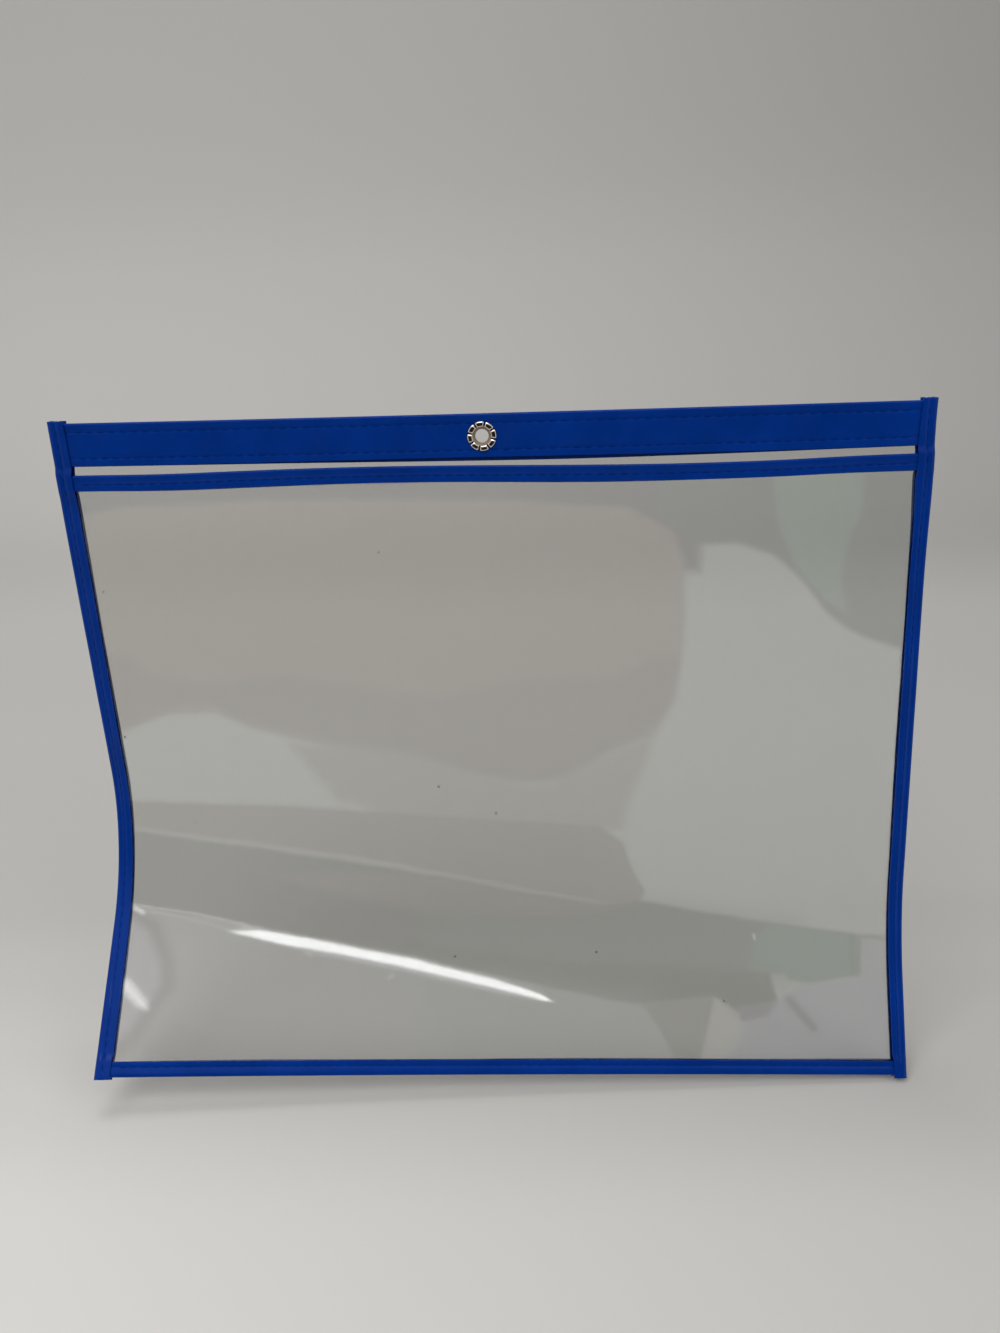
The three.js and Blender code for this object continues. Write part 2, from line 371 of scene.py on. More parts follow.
def spaced(*runs):
    """Stations along a line. Each run is its end and its step, and the first one starts at 0."""
    stations = [0.0]
    for end, step in runs:
        count = max(1, round((end - stations[-1]) / step))
        stations += list(np.linspace(stations[-1], end, count + 1)[1:])
    return np.array(stations)


def slab(columns, rows):
    """A closed slab of one layer of cells, with a corner at each column and row."""
    bm = bmesh.new()
    bmesh.ops.create_grid(bm, x_segments=columns, y_segments=rows, size=1)
    made = bmesh.ops.extrude_face_region(bm, geom=bm.faces[:])
    raised = [v for v in made["geom"] if isinstance(v, bmesh.types.BMVert)]
    bmesh.ops.translate(bm, vec=(0, 0, 1), verts=raised)
    return bm


def corners(bm):
    """The places of all vertices as three rows of numbers."""
    return np.array([v.co for v in bm.verts], float).T


def cells(bm, columns, rows):
    """For each vertex of a slab its column, its row, and 0 or 1 for its layer."""
    x, y, z = corners(bm)
    column = np.rint((x + 1) / 2 * columns).astype(int)
    row = np.rint((y + 1) / 2 * rows).astype(int)
    return column, row, z


def move_to(bm, points):
    """Moves every vertex to its own point."""
    for vertex, point in zip(bm.verts, points):
        vertex.co = point


def add_piece(name, bm, material, replaces=(), bevel=0.0):
    """A finished piece from a bmesh whose vertices are in place."""
    bmesh.ops.recalc_face_normals(bm, faces=bm.faces[:])
    mesh = bpy.data.meshes.new(name)
    bm.to_mesh(mesh)
    bm.free()
    mesh.shade_smooth()
    piece = bpy.data.objects.new(name, mesh)
    bpy.context.scene.collection.objects.link(piece)
    mesh.materials.append(material)
    if bevel:
        edge = piece.modifiers.new("Edges", "BEVEL")
        edge.width = bevel
        edge.segments = 2
        edge.limit_method = "ANGLE"
        edge.angle_limit = math.radians(50)
    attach(piece, BODY)
    if replaces:
        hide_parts(*replaces)
    return piece


def add_strip(name, bm, node):
    """A finished strip of binding vinyl in the place of a solid."""
    return add_piece(name, bm, binding_vinyl(), (node,), EDGE_ROUNDING)


def cut_hole(bm, radius):
    """Takes the eyelet's round hole out of a closed bmesh, and gives the cut one back."""
    point, right, up, out = eyelet_frame()
    cutter = bmesh.new()
    bmesh.ops.create_cone(
        cutter, cap_ends=True, segments=64, radius1=radius, radius2=radius, depth=CUTTER_LENGTH
    )
    turn = Matrix((right, up, out)).transposed().to_4x4()
    bmesh.ops.transform(cutter, matrix=turn, verts=cutter.verts[:])
    objects = []
    for label, source in (("whole", bm), ("cutter", cutter)):
        bmesh.ops.recalc_face_normals(source, faces=source.faces[:])
        mesh = bpy.data.meshes.new(label)
        source.to_mesh(mesh)
        source.free()
        objects.append(bpy.data.objects.new(label, mesh))
        bpy.context.scene.collection.objects.link(objects[-1])
    whole, tool = objects
    cut = whole.modifiers.new("Hole", "BOOLEAN")
    cut.operation = "DIFFERENCE"
    cut.object = tool
    cut.solver = "EXACT"
    graph = bpy.context.evaluated_depsgraph_get()
    result = bmesh.new()
    result.from_mesh(whole.evaluated_get(graph).to_mesh())
    for temporary in objects:
        mesh = temporary.data
        bpy.data.objects.remove(temporary)
        bpy.data.meshes.remove(mesh)
    return result


# Folded strips


def pulled(inward, along, seams):
    """How deep the sewn rows pull a leg in, at a distance in from its fold."""
    rows = bpy.context.scene.holder_seams
    depth = np.zeros_like(along)
    beat = 0.78 + 0.22 * np.cos(2 * math.pi * along / rows.pitch)
    for seam in seams:
        depth = depth + rows.pull * beat * np.exp(-(((inward - seam) / ROW_SPREAD) ** 2))
    return depth


def leg_stations(reach, seams):
    """Distances from the fold at which a leg has corners: close ones at the fold and rows."""
    runs = [(1.4 * MM, 0.2 * MM)]
    for seam in seams:
        runs += [(seam - 1.0 * MM, 0.8 * MM), (seam + 1.0 * MM, 0.25 * MM)]
    runs.append((reach, 0.5 * MM))
    return spaced(*runs)


def folded(station, layer, front, back, bulge):
    """Distance in from the fold and height over the sheet of a folded strip. The station is
    negative on the front leg, front and back are the heights of the legs' inner faces, and
    the fold stands wider than the legs by the bulge on each side."""
    tape = bpy.context.scene.holder_sizes.tape
    half = (back - front) / 2
    fold_half = half + bulge
    outside = fold_half + tape
    middle_radius = fold_half + tape / 2
    distance = np.abs(station)
    angle = np.minimum(distance / middle_radius, math.pi / 2)
    beyond = np.maximum(distance - middle_radius * math.pi / 2, 0)
    radius = fold_half + layer * tape
    inward = outside - radius * np.cos(angle) + beyond
    close = bulge * smooth(beyond, 0, 3.2 * MM)
    height = (radius - close) * np.sin(angle)
    return inward, (front + back) / 2 + np.sign(station) * height, beyond


def cross_strip(
    fold, sign, reach, front, back, bulge, seams, fold_wave, edge_wave, back_extra, swell=None
):
    """A strip folded over an edge that runs across the sheet. It reaches down from its fold
    where sign is 1 and up where it is -1. The back leg is longer by back_extra."""
    sizes, rows, _, _, _ = settings()
    half_width = sizes.width / 2 - EDGE_INSET
    columns = round(2 * half_width / (rows.pitch / 5))
    leg = leg_stations(reach, seams)
    stations = np.concatenate((-leg[:0:-1], leg))
    bm = slab(columns, len(stations) - 1)
    column, row, layer = cells(bm, columns, len(stations) - 1)
    across = half_width * (2 * column / columns - 1)
    inward, over, beyond = folded(stations[row], layer, front, back, bulge)
    last_seam = seams[-1]
    tail = np.clip((inward - last_seam) / (reach - last_seam), 0, 1)
    behind = stations[row] > 0
    inward = inward + tail * (edge_wave(across) - fold_wave(across)) * sign
    inward = inward + behind * tail * back_extra(across)
    side = np.sign(stations[row])
    depth = pulled(inward, across, seams) * smooth(beyond, 0, 0.4 * MM)
    lift = 0.10 * MM * tail * tail * (1 + 0.7 * np.sin(across * 95 + 2 * behind))
    over = over + side * (lift - depth * (0.55 + 0.45 * layer))
    over = over + 0.03 * MM * layer * side * np.sin(across * 210 + inward * 300)
    down = fold + fold_wave(across) + sign * inward
    if swell:
        over = over - swell(across, down)
    move_to(bm, lay(across, down, over))
    return bm


def straight(across):
    """No wave at all."""
    return np.zeros_like(across)


def header_back(across):
    """How much further down the header's back leg reaches, most in the middle."""
    return HEADER_BACK + HEADER_BACK_MIDDLE * np.exp(-(((across - 0.01) / 0.085) ** 2))


def narrow_back(across):
    """How much further a narrow strip's back leg reaches."""
    return NARROW_BACK * (1 + 0.6 * np.sin(across * 47))


def left_wave(down):
    """How much further than a straight line the left strip's inner edge reaches."""
    return LEFT_WAVE * np.sin(down * 33)


def right_lap(down):
    """How much further the right strip reaches over the end of the mouth binding."""
    return RIGHT_LAP * np.exp(-(((down - 0.026) / 0.016) ** 2))


def pocket_heights():
    """Heights over the sheet of the strips' inner faces: behind the back film, in front of the
    front film and behind the front film."""
    sizes = bpy.context.scene.holder_sizes
    inner = sizes.film / 2 + LAYER_GAP
    front = -(sizes.film * 1.5 + sizes.tape + 3 * LAYER_GAP)
    return inner, front, front + 2 * LAYER_GAP + sizes.film


def leg_heights(down):
    """The heights of a side binding's inner faces: the strips that it crosses lift it."""
    sizes = bpy.context.scene.holder_sizes
    face = sizes.film / 2
    front_film = -(face + sizes.tape + 2 * LAYER_GAP + sizes.film)
    under_tape = 2 * LAYER_GAP + sizes.tape
    over_header = (-(face + under_tape), face + under_tape)
    over_fold = (over_header[0] - 0.16 * MM, over_header[1] + 0.16 * MM)
    over_mouth = (front_film - under_tape, face + LAYER_GAP)
    over_films = (front_film - LAYER_GAP, face + LAYER_GAP)
    over_bottom = (front_film - under_tape, face + under_tape)
    mouth_top = sizes.header + MOUTH_GAP
    mouth_bottom = mouth_top + sizes.mouth
    bottom_top = sizes.height - sizes.bottom
    seats = (
        (-SIDE_OVERHANG, over_fold),
        (2 * MM, over_fold),
        (5 * MM, over_header),
        (sizes.header + STEP_MARGIN, over_header),
        (mouth_top - STEP_MARGIN, over_mouth),
        (mouth_bottom + STEP_MARGIN, over_mouth),
        (mouth_bottom + STEP_MARGIN + STEP_LENGTH, over_films),
        (bottom_top - STEP_MARGIN - STEP_LENGTH, over_films),
        (bottom_top - STEP_MARGIN, over_bottom),
        (sizes.height + SIDE_OVERHANG, over_bottom),
    )
    places = [seat[0] for seat in seats]
    spread = np.linspace(-0.5, 0.5, 5) * MM
    legs = []
    for leg in (0, 1):
        heights = [seat[1][leg] for seat in seats]
        legs.append(np.mean([np.interp(down + s, places, heights) for s in spread], axis=0))
    return legs


def side_strip(side, reach, seam, widen):
    """A strip folded over a side edge: side is -1 on the left and 1 on the right."""
    sizes, rows, _, _, _ = settings()
    length = sizes.height + 2 * SIDE_OVERHANG
    steps = round(length / (rows.pitch / 5))
    leg = leg_stations(reach, (seam,))
    stations = np.concatenate((-leg[:0:-1], leg))
    bm = slab(steps, len(stations) - 1)
    column, row, layer = cells(bm, steps, len(stations) - 1)
    down = length * column / steps - SIDE_OVERHANG
    front, back = leg_heights(down)
    inward, over, beyond = folded(stations[row], layer, front, back, NARROW_BULGE)
    behind = stations[row] > 0
    tail = np.clip((inward - seam) / (reach - seam), 0, 1)
    inward = inward + tail * widen(down)
    inward = inward + behind * tail * NARROW_BACK * (1 + 0.6 * np.sin(down * 59))
    leg_side = np.sign(stations[row])
    depth = pulled(inward, down, (seam,)) * smooth(beyond, 0, 0.4 * MM)
    lift = 0.08 * MM * tail * tail * (1 + 0.7 * np.sin(down * 111 + 3 * behind))
    over = over + leg_side * (lift - depth * (0.55 + 0.45 * layer))
    over = over + 0.03 * MM * layer * leg_side * np.sin(down * 190 + inward * 260)
    end = np.maximum(smooth(-down, 0, SIDE_OVERHANG), smooth(down, sizes.height, length))
    ragged = np.sin(inward * 2600 + 1.3) * np.sin(inward * 1100) * end
    down = down + 0.12 * MM * ragged
    move_to(bm, lay(side * (sizes.width / 2 - inward), down, over))
    return bm


# Finishes


def new_material(name):
    """An empty node material, with its nodes, its links and its output."""
    material = bpy.data.materials.new(name)
    material.use_nodes = True
    tree = material.node_tree
    tree.nodes.clear()
    output = tree.nodes.new("ShaderNodeOutputMaterial")
    return material, tree.nodes, tree.links, output


def noise(nodes, links, place, scale, detail=3.0, stretch=(1, 1, 1)):
    """Noise on a piece's own coordinates."""
    mapping = nodes.new("ShaderNodeMapping")
    mapping.inputs["Scale"].default_value = stretch
    texture = nodes.new("ShaderNodeTexNoise")
    texture.inputs["Scale"].default_value = scale
    texture.inputs["Detail"].default_value = detail
    links.new(place.outputs["Object"], mapping.inputs["Vector"])
    links.new(mapping.outputs["Vector"], texture.inputs["Vector"])
    return texture.outputs["Fac"]


def ranged(nodes, links, value, low, high, start=0.3, end=0.7):
    """A value from 0.3 to 0.7, or from start to end, spread over another range."""
    node = nodes.new("ShaderNodeMapRange")
    node.inputs["From Min"].default_value = start
    node.inputs["From Max"].default_value = end
    node.inputs["To Min"].default_value = low
    node.inputs["To Max"].default_value = high
    links.new(value, node.inputs["Value"])
    return node.outputs["Result"]


def mixed(nodes, links, share, first, second):
    """A colour between two colours, of which the first may come from another node."""
    node = nodes.new("ShaderNodeMix")
    node.data_type = "RGBA"
    if isinstance(first, bpy.types.NodeSocket):
        links.new(first, node.inputs["A"])
    else:
        node.inputs["A"].default_value = (*first, 1)
    node.inputs["B"].default_value = (*second, 1)
    links.new(share, node.inputs["Factor"])
    return node.outputs["Result"]


def worked(nodes, links, operation, *terms):
    """A sum, product or the like of plain numbers and of values from other nodes."""
    node = nodes.new("ShaderNodeMath")
    node.operation = operation
    for socket, term in zip(node.inputs, terms):
        if isinstance(term, bpy.types.NodeSocket):
            links.new(term, socket)
        else:
            socket.default_value = term
    return node.outputs["Value"]


def graded(nodes, links, value, stops, interpolation="LINEAR"):
    """Colours along a value from 0 to 1, from stops of a place and a colour each."""
    node = nodes.new("ShaderNodeValToRGB")
    band = node.color_ramp
    band.interpolation = interpolation
    for place_along, tone in stops:
        band.elements.new(place_along).color = (*tone, 1)
    band.elements.remove(band.elements[-1])
    band.elements.remove(band.elements[0])
    links.new(value, node.inputs["Fac"])
    return node.outputs["Color"]


def bump(nodes, links, height, distance, strength=1.0, normal=None):
    """A bump from a height, over another bump where one is given."""
    node = nodes.new("ShaderNodeBump")
    node.inputs["Strength"].default_value = strength
    node.inputs["Distance"].default_value = distance
    links.new(height, node.inputs["Height"])
    if normal:
        links.new(normal, node.inputs["Normal"])
    return node.outputs["Normal"]


def binding_vinyl():
    """Blue calendered vinyl: a fine grain, faint cloudiness and a satin face."""
    found = bpy.data.materials.get("binding_vinyl")
    if found:
        return found
    colours = bpy.context.scene.holder_colours
    material, nodes, links, output = new_material("binding_vinyl")
    place = nodes.new("ShaderNodeTexCoord")
    shader = nodes.new("ShaderNodeBsdfPrincipled")
    shader.inputs["Specular IOR Level"].default_value = 0.09
    cloud = noise(nodes, links, place, 55, 4)
    links.new(
        mixed(nodes, links, ranged(nodes, links, cloud, 0, 1), colours.tape_dark, colours.tape),
        shader.inputs["Base Color"],
    )
    scuff = noise(nodes, links, place, 160, 5)
    links.new(ranged(nodes, links, scuff, 0.13, 0.24), shader.inputs["Roughness"])
    grain = noise(nodes, links, place, 1900, 2)
    soft = noise(nodes, links, place, 230, 2)
    fine = bump(nodes, links, grain, 0.02 * MM, 0.5)
    links.new(bump(nodes, links, soft, 0.10 * MM, 0.5, fine), shader.inputs["Normal"])
    links.new(shader.outputs["BSDF"], output.inputs["Surface"])
    return material


def sewing_thread():
    """Blue polyester thread, twisted from three plies, with painted shade in the grooves between
    them.
    """
    found = bpy.data.materials.get("sewing_thread")
    if found:
        return found
    colours = bpy.context.scene.holder_colours
    material, nodes, links, output = new_material("sewing_thread")
    place = nodes.new("ShaderNodeTexCoord")
    shader = nodes.new("ShaderNodeBsdfPrincipled")
    shader.inputs["Roughness"].default_value = 0.55
    shader.inputs["Specular IOR Level"].default_value = 0.02
    wave = nodes.new("ShaderNodeTexWave")
    wave.bands_direction = "DIAGONAL"
    wave.inputs["Scale"].default_value = 700
    links.new(place.outputs["Object"], wave.inputs["Vector"])
    # Painted shade: the thread is darker where the wave that raises its bump is low, in the
    # grooves between the plies
    dark = tuple(0.7 * channel for channel in colours.thread)
    plies = mixed(nodes, links, wave.outputs["Fac"], dark, colours.thread)
    links.new(plies, shader.inputs["Base Color"])
    links.new(bump(nodes, links, wave.outputs["Fac"], 0.03 * MM), shader.inputs["Normal"])
    links.new(shader.outputs["BSDF"], output.inputs["Surface"])
    return material


def clear_film():
    """Clear soft vinyl: it lets most light through, mirrors the rest, and carries a little dust
    and haze. The grey of the light that it lets through is partly its own and partly painted
    shade."""
    found = bpy.data.materials.get("clear_film")
    if found:
        return found
    colours = bpy.context.scene.holder_colours
    material, nodes, links, output = new_material("clear_film")
    place = nodes.new("ShaderNodeTexCoord")
    clear = nodes.new("ShaderNodeBsdfTransparent")
    clear.inputs["Color"].default_value = (*colours.film, 1)
    gloss = nodes.new("ShaderNodeBsdfGlossy")
    gloss.inputs["Color"].default_value = (1, 1, 1, 1)
    gloss.inputs["Roughness"].default_value = 0.05
    wave = noise(nodes, links, place, 26, 3)
    orange = noise(nodes, links, place, 240, 2)
    swell = bump(nodes, links, wave, 0.5 * MM, 0.5)
    links.new(bump(nodes, links, orange, 0.012 * MM, 0.5, swell), gloss.inputs["Normal"])
    side = nodes.new("ShaderNodeNewGeometry")
    index = ranged(nodes, links, side.outputs["Backfacing"], FILM_INDEX, 1 / FILM_INDEX, 0, 1)
    mirror = nodes.new("ShaderNodeFresnel")
    links.new(index, mirror.inputs["IOR"])
    shine = nodes.new("ShaderNodeMixShader")
    links.new(mirror.outputs["Fac"], shine.inputs["Fac"])
    links.new(clear.outputs["BSDF"], shine.inputs[1])
    links.new(gloss.outputs["BSDF"], shine.inputs[2])
    dust = nodes.new("ShaderNodeTexVoronoi")
    dust.inputs["Scale"].default_value = 38
    links.new(place.outputs["Object"], dust.inputs["Vector"])
    speck = ranged(nodes, links, dust.outputs["Distance"], 0.55, 0, 0.010, 0.026)
    powder = nodes.new("ShaderNodeBsdfDiffuse")
    powder.inputs["Color"].default_value = (0.16, 0.155, 0.145, 1)
    dusty = nodes.new("ShaderNodeMixShader")
    links.new(speck, dusty.inputs["Fac"])
    links.new(shine.outputs["Shader"], dusty.inputs[1])
    links.new(powder.outputs["BSDF"], dusty.inputs[2])
    links.new(dusty.outputs["Shader"], output.inputs["Surface"])
    return material


def eyelet_metal():
    """Nickel plating with worn, brassy places and fine rolling marks, dull and brown inside the
    throat."""
    found = bpy.data.materials.get("plated_metal")
    if found:
        return found
    colours = bpy.context.scene.holder_colours
    material, nodes, links, output = new_material("plated_metal")
    place = nodes.new("ShaderNodeTexCoord")
    shader = nodes.new("ShaderNodeBsdfPrincipled")
    shader.inputs["Specular IOR Level"].default_value = 0.1
    worn = noise(nodes, links, place, 420, 3)
    plating = mixed(
        nodes, links, ranged(nodes, links, worn, 0, 1, 0.5, 0.75), colours.metal, colours.brass
    )
    flat = nodes.new("ShaderNodeVectorMath")
    flat.operation = "MULTIPLY"
    flat.inputs[1].default_value = (1, 0, 1)
    links.new(place.outputs["Object"], flat.inputs[0])
    radius = nodes.new("ShaderNodeVectorMath")
    radius.operation = "LENGTH"
    links.new(flat.outputs["Vector"], radius.inputs[0])
    throat = bpy.context.scene.holder_eyelet.throat
    inside = ranged(
        nodes, links, radius.outputs["Value"], 1, 0, throat - 0.05 * MM, throat + 0.15 * MM
    )
    metal = mixed(nodes, links, inside, plating, colours.tarnish)
    links.new(metal, shader.inputs["Base Color"])
    polish = ranged(nodes, links, worn, 0.03, 0.09)
    dull = worked(nodes, links, "MULTIPLY_ADD", inside, 0.45, polish)
    links.new(dull, shader.inputs["Roughness"])
    links.new(worked(nodes, links, "SUBTRACT", 1, inside), shader.inputs["Metallic"])
    marks = noise(nodes, links, place, 2600, 2, (1, 1, 0.2))
    links.new(bump(nodes, links, marks, 0.02 * MM, 0.4), shader.inputs["Normal"])
    links.new(shader.outputs["BSDF"], output.inputs["Surface"])
    return material


# Operators


class HOLDER_OT_films(bpy.types.Operator):
    """Add the clear back film and front film"""

    bl_idname = "holder.films"
    bl_label = "Films"

    def execute(self, context):
        sizes, _, eyelet, _, _ = settings()
        half_width = sizes.width / 2 - EDGE_INSET
        film_bottom = sizes.height - EDGE_INSET
        front_top = sizes.header + MOUTH_GAP + EDGE_INSET
        front_middle = -(sizes.film + sizes.tape + 2 * LAYER_GAP)
        columns = round(2 * half_width / FILM_CELL)
        for name, top, middle in (
            ("back_film_sheet", EDGE_INSET, 0.0),
            ("front_film_sheet", front_top, front_middle),
        ):
            rows = round((film_bottom - top) / FILM_CELL)
            bm = slab(columns, rows)
            column, row, layer = cells(bm, columns, rows)
            across = half_width * (2 * column / columns - 1)
            down = top + (film_bottom - top) * row / rows
            over = middle + sizes.film * (layer - 0.5)
            if middle:
                down = down + mouth_wave(across) * (1 - smooth(down, top, top + 0.05))
                over = over - gape(across, down)
            move_to(bm, lay(across, down, over))
            if not middle:
                bm = cut_hole(bm, eyelet.hole + eyelet.wall + LAYER_GAP)
            node = name.replace("_sheet", "")
            piece = add_piece(name, bm, clear_film(), (node,))
        return {"FINISHED"}


class HOLDER_OT_cross_bindings(bpy.types.Operator):
    """Add the header strip, the mouth binding and the bottom binding"""

    bl_idname = "holder.cross_bindings"
    bl_label = "Cross bindings"

    def execute(self, context):
        sizes, _, eyelet, _, _ = settings()
        inner, front, pocket = pocket_heights()
        header = cross_strip(
            0, 1, sizes.header, -inner, inner, HEADER_BULGE,
            HEADER_SEAMS, straight, header_wave, header_back,
        )
        header = cut_hole(header, eyelet.hole + eyelet.wall + LAYER_GAP)
        add_strip("header_vinyl", header, "header_strip")
        mouth = cross_strip(
            sizes.header + MOUTH_GAP, 1, sizes.mouth, front, pocket, MOUTH_BULGE,
            MOUTH_SEAMS, mouth_wave, mouth_wave, narrow_back, gape,
        )
        add_strip("mouth_vinyl", mouth, "mouth_binding")
        bottom = cross_strip(
            sizes.height, -1, sizes.bottom, front, inner, NARROW_BULGE,
            BOTTOM_SEAMS, straight, straight, narrow_back,
        )
        add_strip("bottom_vinyl", bottom, "bottom_binding")
        return {"FINISHED"}


class HOLDER_OT_side_bindings(bpy.types.Operator):
    """Add the left and right bindings, which step over the strips that they cross"""

    bl_idname = "holder.side_bindings"
    bl_label = "Side bindings"

    def execute(self, context):
        sizes = context.scene.holder_sizes
        left = side_strip(-1, sizes.left, SIDE_SEAM, left_wave)
        add_strip("left_vinyl", left, "left_binding")
        right = side_strip(1, sizes.right, SIDE_SEAM, right_lap)
        add_strip("right_vinyl", right, "right_binding")
        return {"FINISHED"}


def stitches(count, pitch, thread):
    """A row of stitches along X from 0, each a thread that dips into the vinyl at its ends."""
    bm = bmesh.new()
    length = 0.8 * pitch
    bmesh.ops.create_cone(
        bm, cap_ends=True, segments=6, radius1=thread / 2, radius2=thread / 2, depth=length
    )
    turn = Matrix.Rotation(math.radians(90), 4, "Y")
    bmesh.ops.transform(bm, matrix=turn, verts=bm.verts[:])
    long_edges = [e for e in bm.edges if e.calc_length() > length / 2]
    bmesh.ops.subdivide_edges(bm, edges=long_edges, cuts=5, use_grid_fill=True)
    for vertex in bm.verts:
        share = abs(vertex.co.x) / (length / 2)
        vertex.co.y *= 1 - 0.45 * share**6
        vertex.co.z *= 1 - 0.45 * share**6
        vertex.co.z -= 0.9 * thread * share**4
    one = bm.verts[:] + bm.edges[:] + bm.faces[:]
    bmesh.ops.translate(bm, vec=(pitch / 2, 0, 0), verts=bm.verts[:])
    for number in range(1, count):
        copy = bmesh.ops.duplicate(bm, geom=one)
        moved = [v for v in copy["geom"] if isinstance(v, bmesh.types.BMVert)]
        bmesh.ops.translate(bm, vec=(number * pitch, 0, 0), verts=moved)
    return bm


class HOLDER_OT_seams(bpy.types.Operator):
    """Add the sewing thread along every strip, on the front and on the back"""

    bl_idname = "holder.seams"
    bl_label = "Seams"

    def execute(self, context):
        sizes, rows, _, _, _ = settings()
        inner, front, pocket = pocket_heights()
        mouth_top = sizes.header + MOUTH_GAP
        runs = (
            ("header_top_seam", 0, 1, HEADER_SEAMS[0], -inner, inner, None),
            ("header_seam", 0, 1, HEADER_SEAMS[1], -inner, inner, None),
            ("mouth_seam", mouth_top, 1, MOUTH_SEAMS[0], front, pocket, gape),
            ("bottom_seam", sizes.height, -1, BOTTOM_SEAMS[0], front, inner, None),
        )
        count = int((sizes.width - 2 * SEAM_END) / rows.pitch)
        for name, fold, sign, seam, low, high, swell in runs:
            for side, height in (("front", low), ("back", high)):
                bm = stitches(count, rows.pitch, rows.thread)
                along, lateral, rise = corners(bm)
                across = along - count * rows.pitch / 2
                down = fold + sign * seam + lateral
                if swell:
                    down = down + mouth_wave(across)
                out = sizes.tape + THREAD_LIFT * rows.thread + rise
                out = out - pulled(np.full_like(across, seam), across, (seam,))
                over = height + out * (-1 if side == "front" else 1)
                if swell:
                    over = over - swell(across, down)
                move_to(bm, lay(across, down, over))
                add_piece(f"{name}_{side}", bm, sewing_thread())
        count = int(sizes.height / rows.pitch)
        for label, side in (("left", -1), ("right", 1)):
            for face, pick, sense in (("front", 0, -1), ("back", 1, 1)):
                bm = stitches(count, rows.pitch, rows.thread)
                along, lateral, rise = corners(bm)
                down = along + (sizes.height - count * rows.pitch) / 2
                across = side * (sizes.width / 2 - SIDE_SEAM + lateral)
                out = sizes.tape + THREAD_LIFT * rows.thread + rise
                out = out - pulled(np.full_like(down, SIDE_SEAM), down, (SIDE_SEAM,))
                over = leg_heights(down)[pick] + sense * out
                move_to(bm, lay(across, down, over))
                add_piece(f"{label}_seam_{face}", bm, sewing_thread())
        return {"FINISHED"}


class HOLDER_OT_eyelet(bpy.types.Operator):
    """Add the metal eyelet with its flange and eight curled petals"""

    bl_idname = "holder.eyelet"
    bl_label = "Eyelet"

    def execute(self, context):
        sizes, _, eyelet, _, _ = settings()
        seat = sizes.film / 2 + sizes.tape + 2 * LAYER_GAP
        bm = self.petal(eyelet, seat)
        axis, centre = (0, 0, 1), (0, 0, 0)
        bmesh.ops.spin(
            bm, geom=bm.verts[:] + bm.edges[:] + bm.faces[:], cent=centre, axis=axis,
            angle=math.tau * (PETALS - 1) / PETALS, steps=PETALS - 1, use_duplicate=True,
        )
        tube = self.tube(eyelet, seat)
        joined = bpy.data.meshes.new("tube")
        tube.to_mesh(joined)
        tube.free()
        bm.from_mesh(joined)
        bpy.data.meshes.remove(joined)
        _, right, up, out = eyelet_frame()
        turn = Matrix((right, up, out)).transposed().to_4x4()
        bmesh.ops.transform(bm, matrix=turn, verts=bm.verts[:])
        add_piece("eyelet_metal_ring", bm, eyelet_metal(), ("eyelet",))
        return {"FINISHED"}

    def petal(self, eyelet, seat):
        """One curled petal: an arc from the throat over the crest to the tucked tip."""
        columns, rows = 14, 20
        bm = slab(columns, rows)
        column, row, layer = cells(bm, columns, rows)
        sideways = 2 * column / columns - 1
        share = row / rows
        turn = math.pi - share * PETAL_CURL
        half_reach = eyelet.reach / 2
        half_rise = eyelet.rise / 2
        thick = eyelet.wall * (layer - 1)
        outward = np.sign(np.cos(turn)) * np.abs(np.cos(turn)) ** PETAL_ROUNDNESS
        upward = np.sign(np.sin(turn)) * np.abs(np.sin(turn)) ** PETAL_ROUNDNESS
        radius = eyelet.throat + half_reach + (half_reach + thick) * outward
        height = seat + half_rise * PETAL_MIDDLE + (half_rise + thick) * upward
        slot = SLOT_WIDTH + SLOT_GROWTH * share
        half_angle = math.pi / PETALS - slot / 2 / radius
        tip = smooth(share, 0.6, 1.0)
        half_angle = half_angle * (1 - 0.25 * tip * tip)
        crown = PETAL_CROWN * np.sqrt(np.sin(math.pi * share)) * sideways**4
        angle = math.pi / 2 + PETAL_TURN + math.pi / 4 + half_angle * sideways
        points = (radius * np.cos(angle), radius * np.sin(angle), height - crown)
        move_to(bm, np.stack(points, axis=1))
        return bm

    def tube(self, eyelet, seat):
        """The barrel through the header and its flange at the back, spun from its section."""
        bm = bmesh.new()
        back = -(seat + eyelet.wall)
        outer = eyelet.hole + eyelet.wall
        flare = THROAT_FLARE
        top = seat + THROAT_LIP
        drop = eyelet.throat - eyelet.narrow
        section = []
        for step in range(9):
            share = step / 8
            section.append(
                (
                    eyelet.throat - drop * math.sin(share * math.pi / 2),
                    top - (top - back - flare) * share,
                )
            )
        for step in range(1, 7):
            turn = math.pi + step * math.pi / 12
            section.append(
                (
                    eyelet.narrow + flare + flare * math.cos(turn),
                    back + flare + flare * math.sin(turn),
                )
            )
        for step in range(7):
            turn = -math.pi / 2 + step * math.pi / 6
            section.append(
                (
                    eyelet.flange - eyelet.wall / 2 + eyelet.wall / 2 * math.cos(turn),
                    back + eyelet.wall / 2 + eyelet.wall / 2 * math.sin(turn),
                )
            )
        section += [(outer + 0.1 * MM, -seat), (outer, -seat + 0.1 * MM), (outer, seat + 0.2 * MM)]
        ring = [bm.verts.new((x, 0, z)) for x, z in section]
        edges = [bm.edges.new((a, b)) for a, b in zip(ring, ring[1:] + ring[:1])]
        bmesh.ops.spin(
            bm, geom=ring + edges, cent=(0, 0, 0), axis=(0, 0, 1),
            angle=math.tau, steps=64, use_merge=True,
        )
        return bm


# Stage


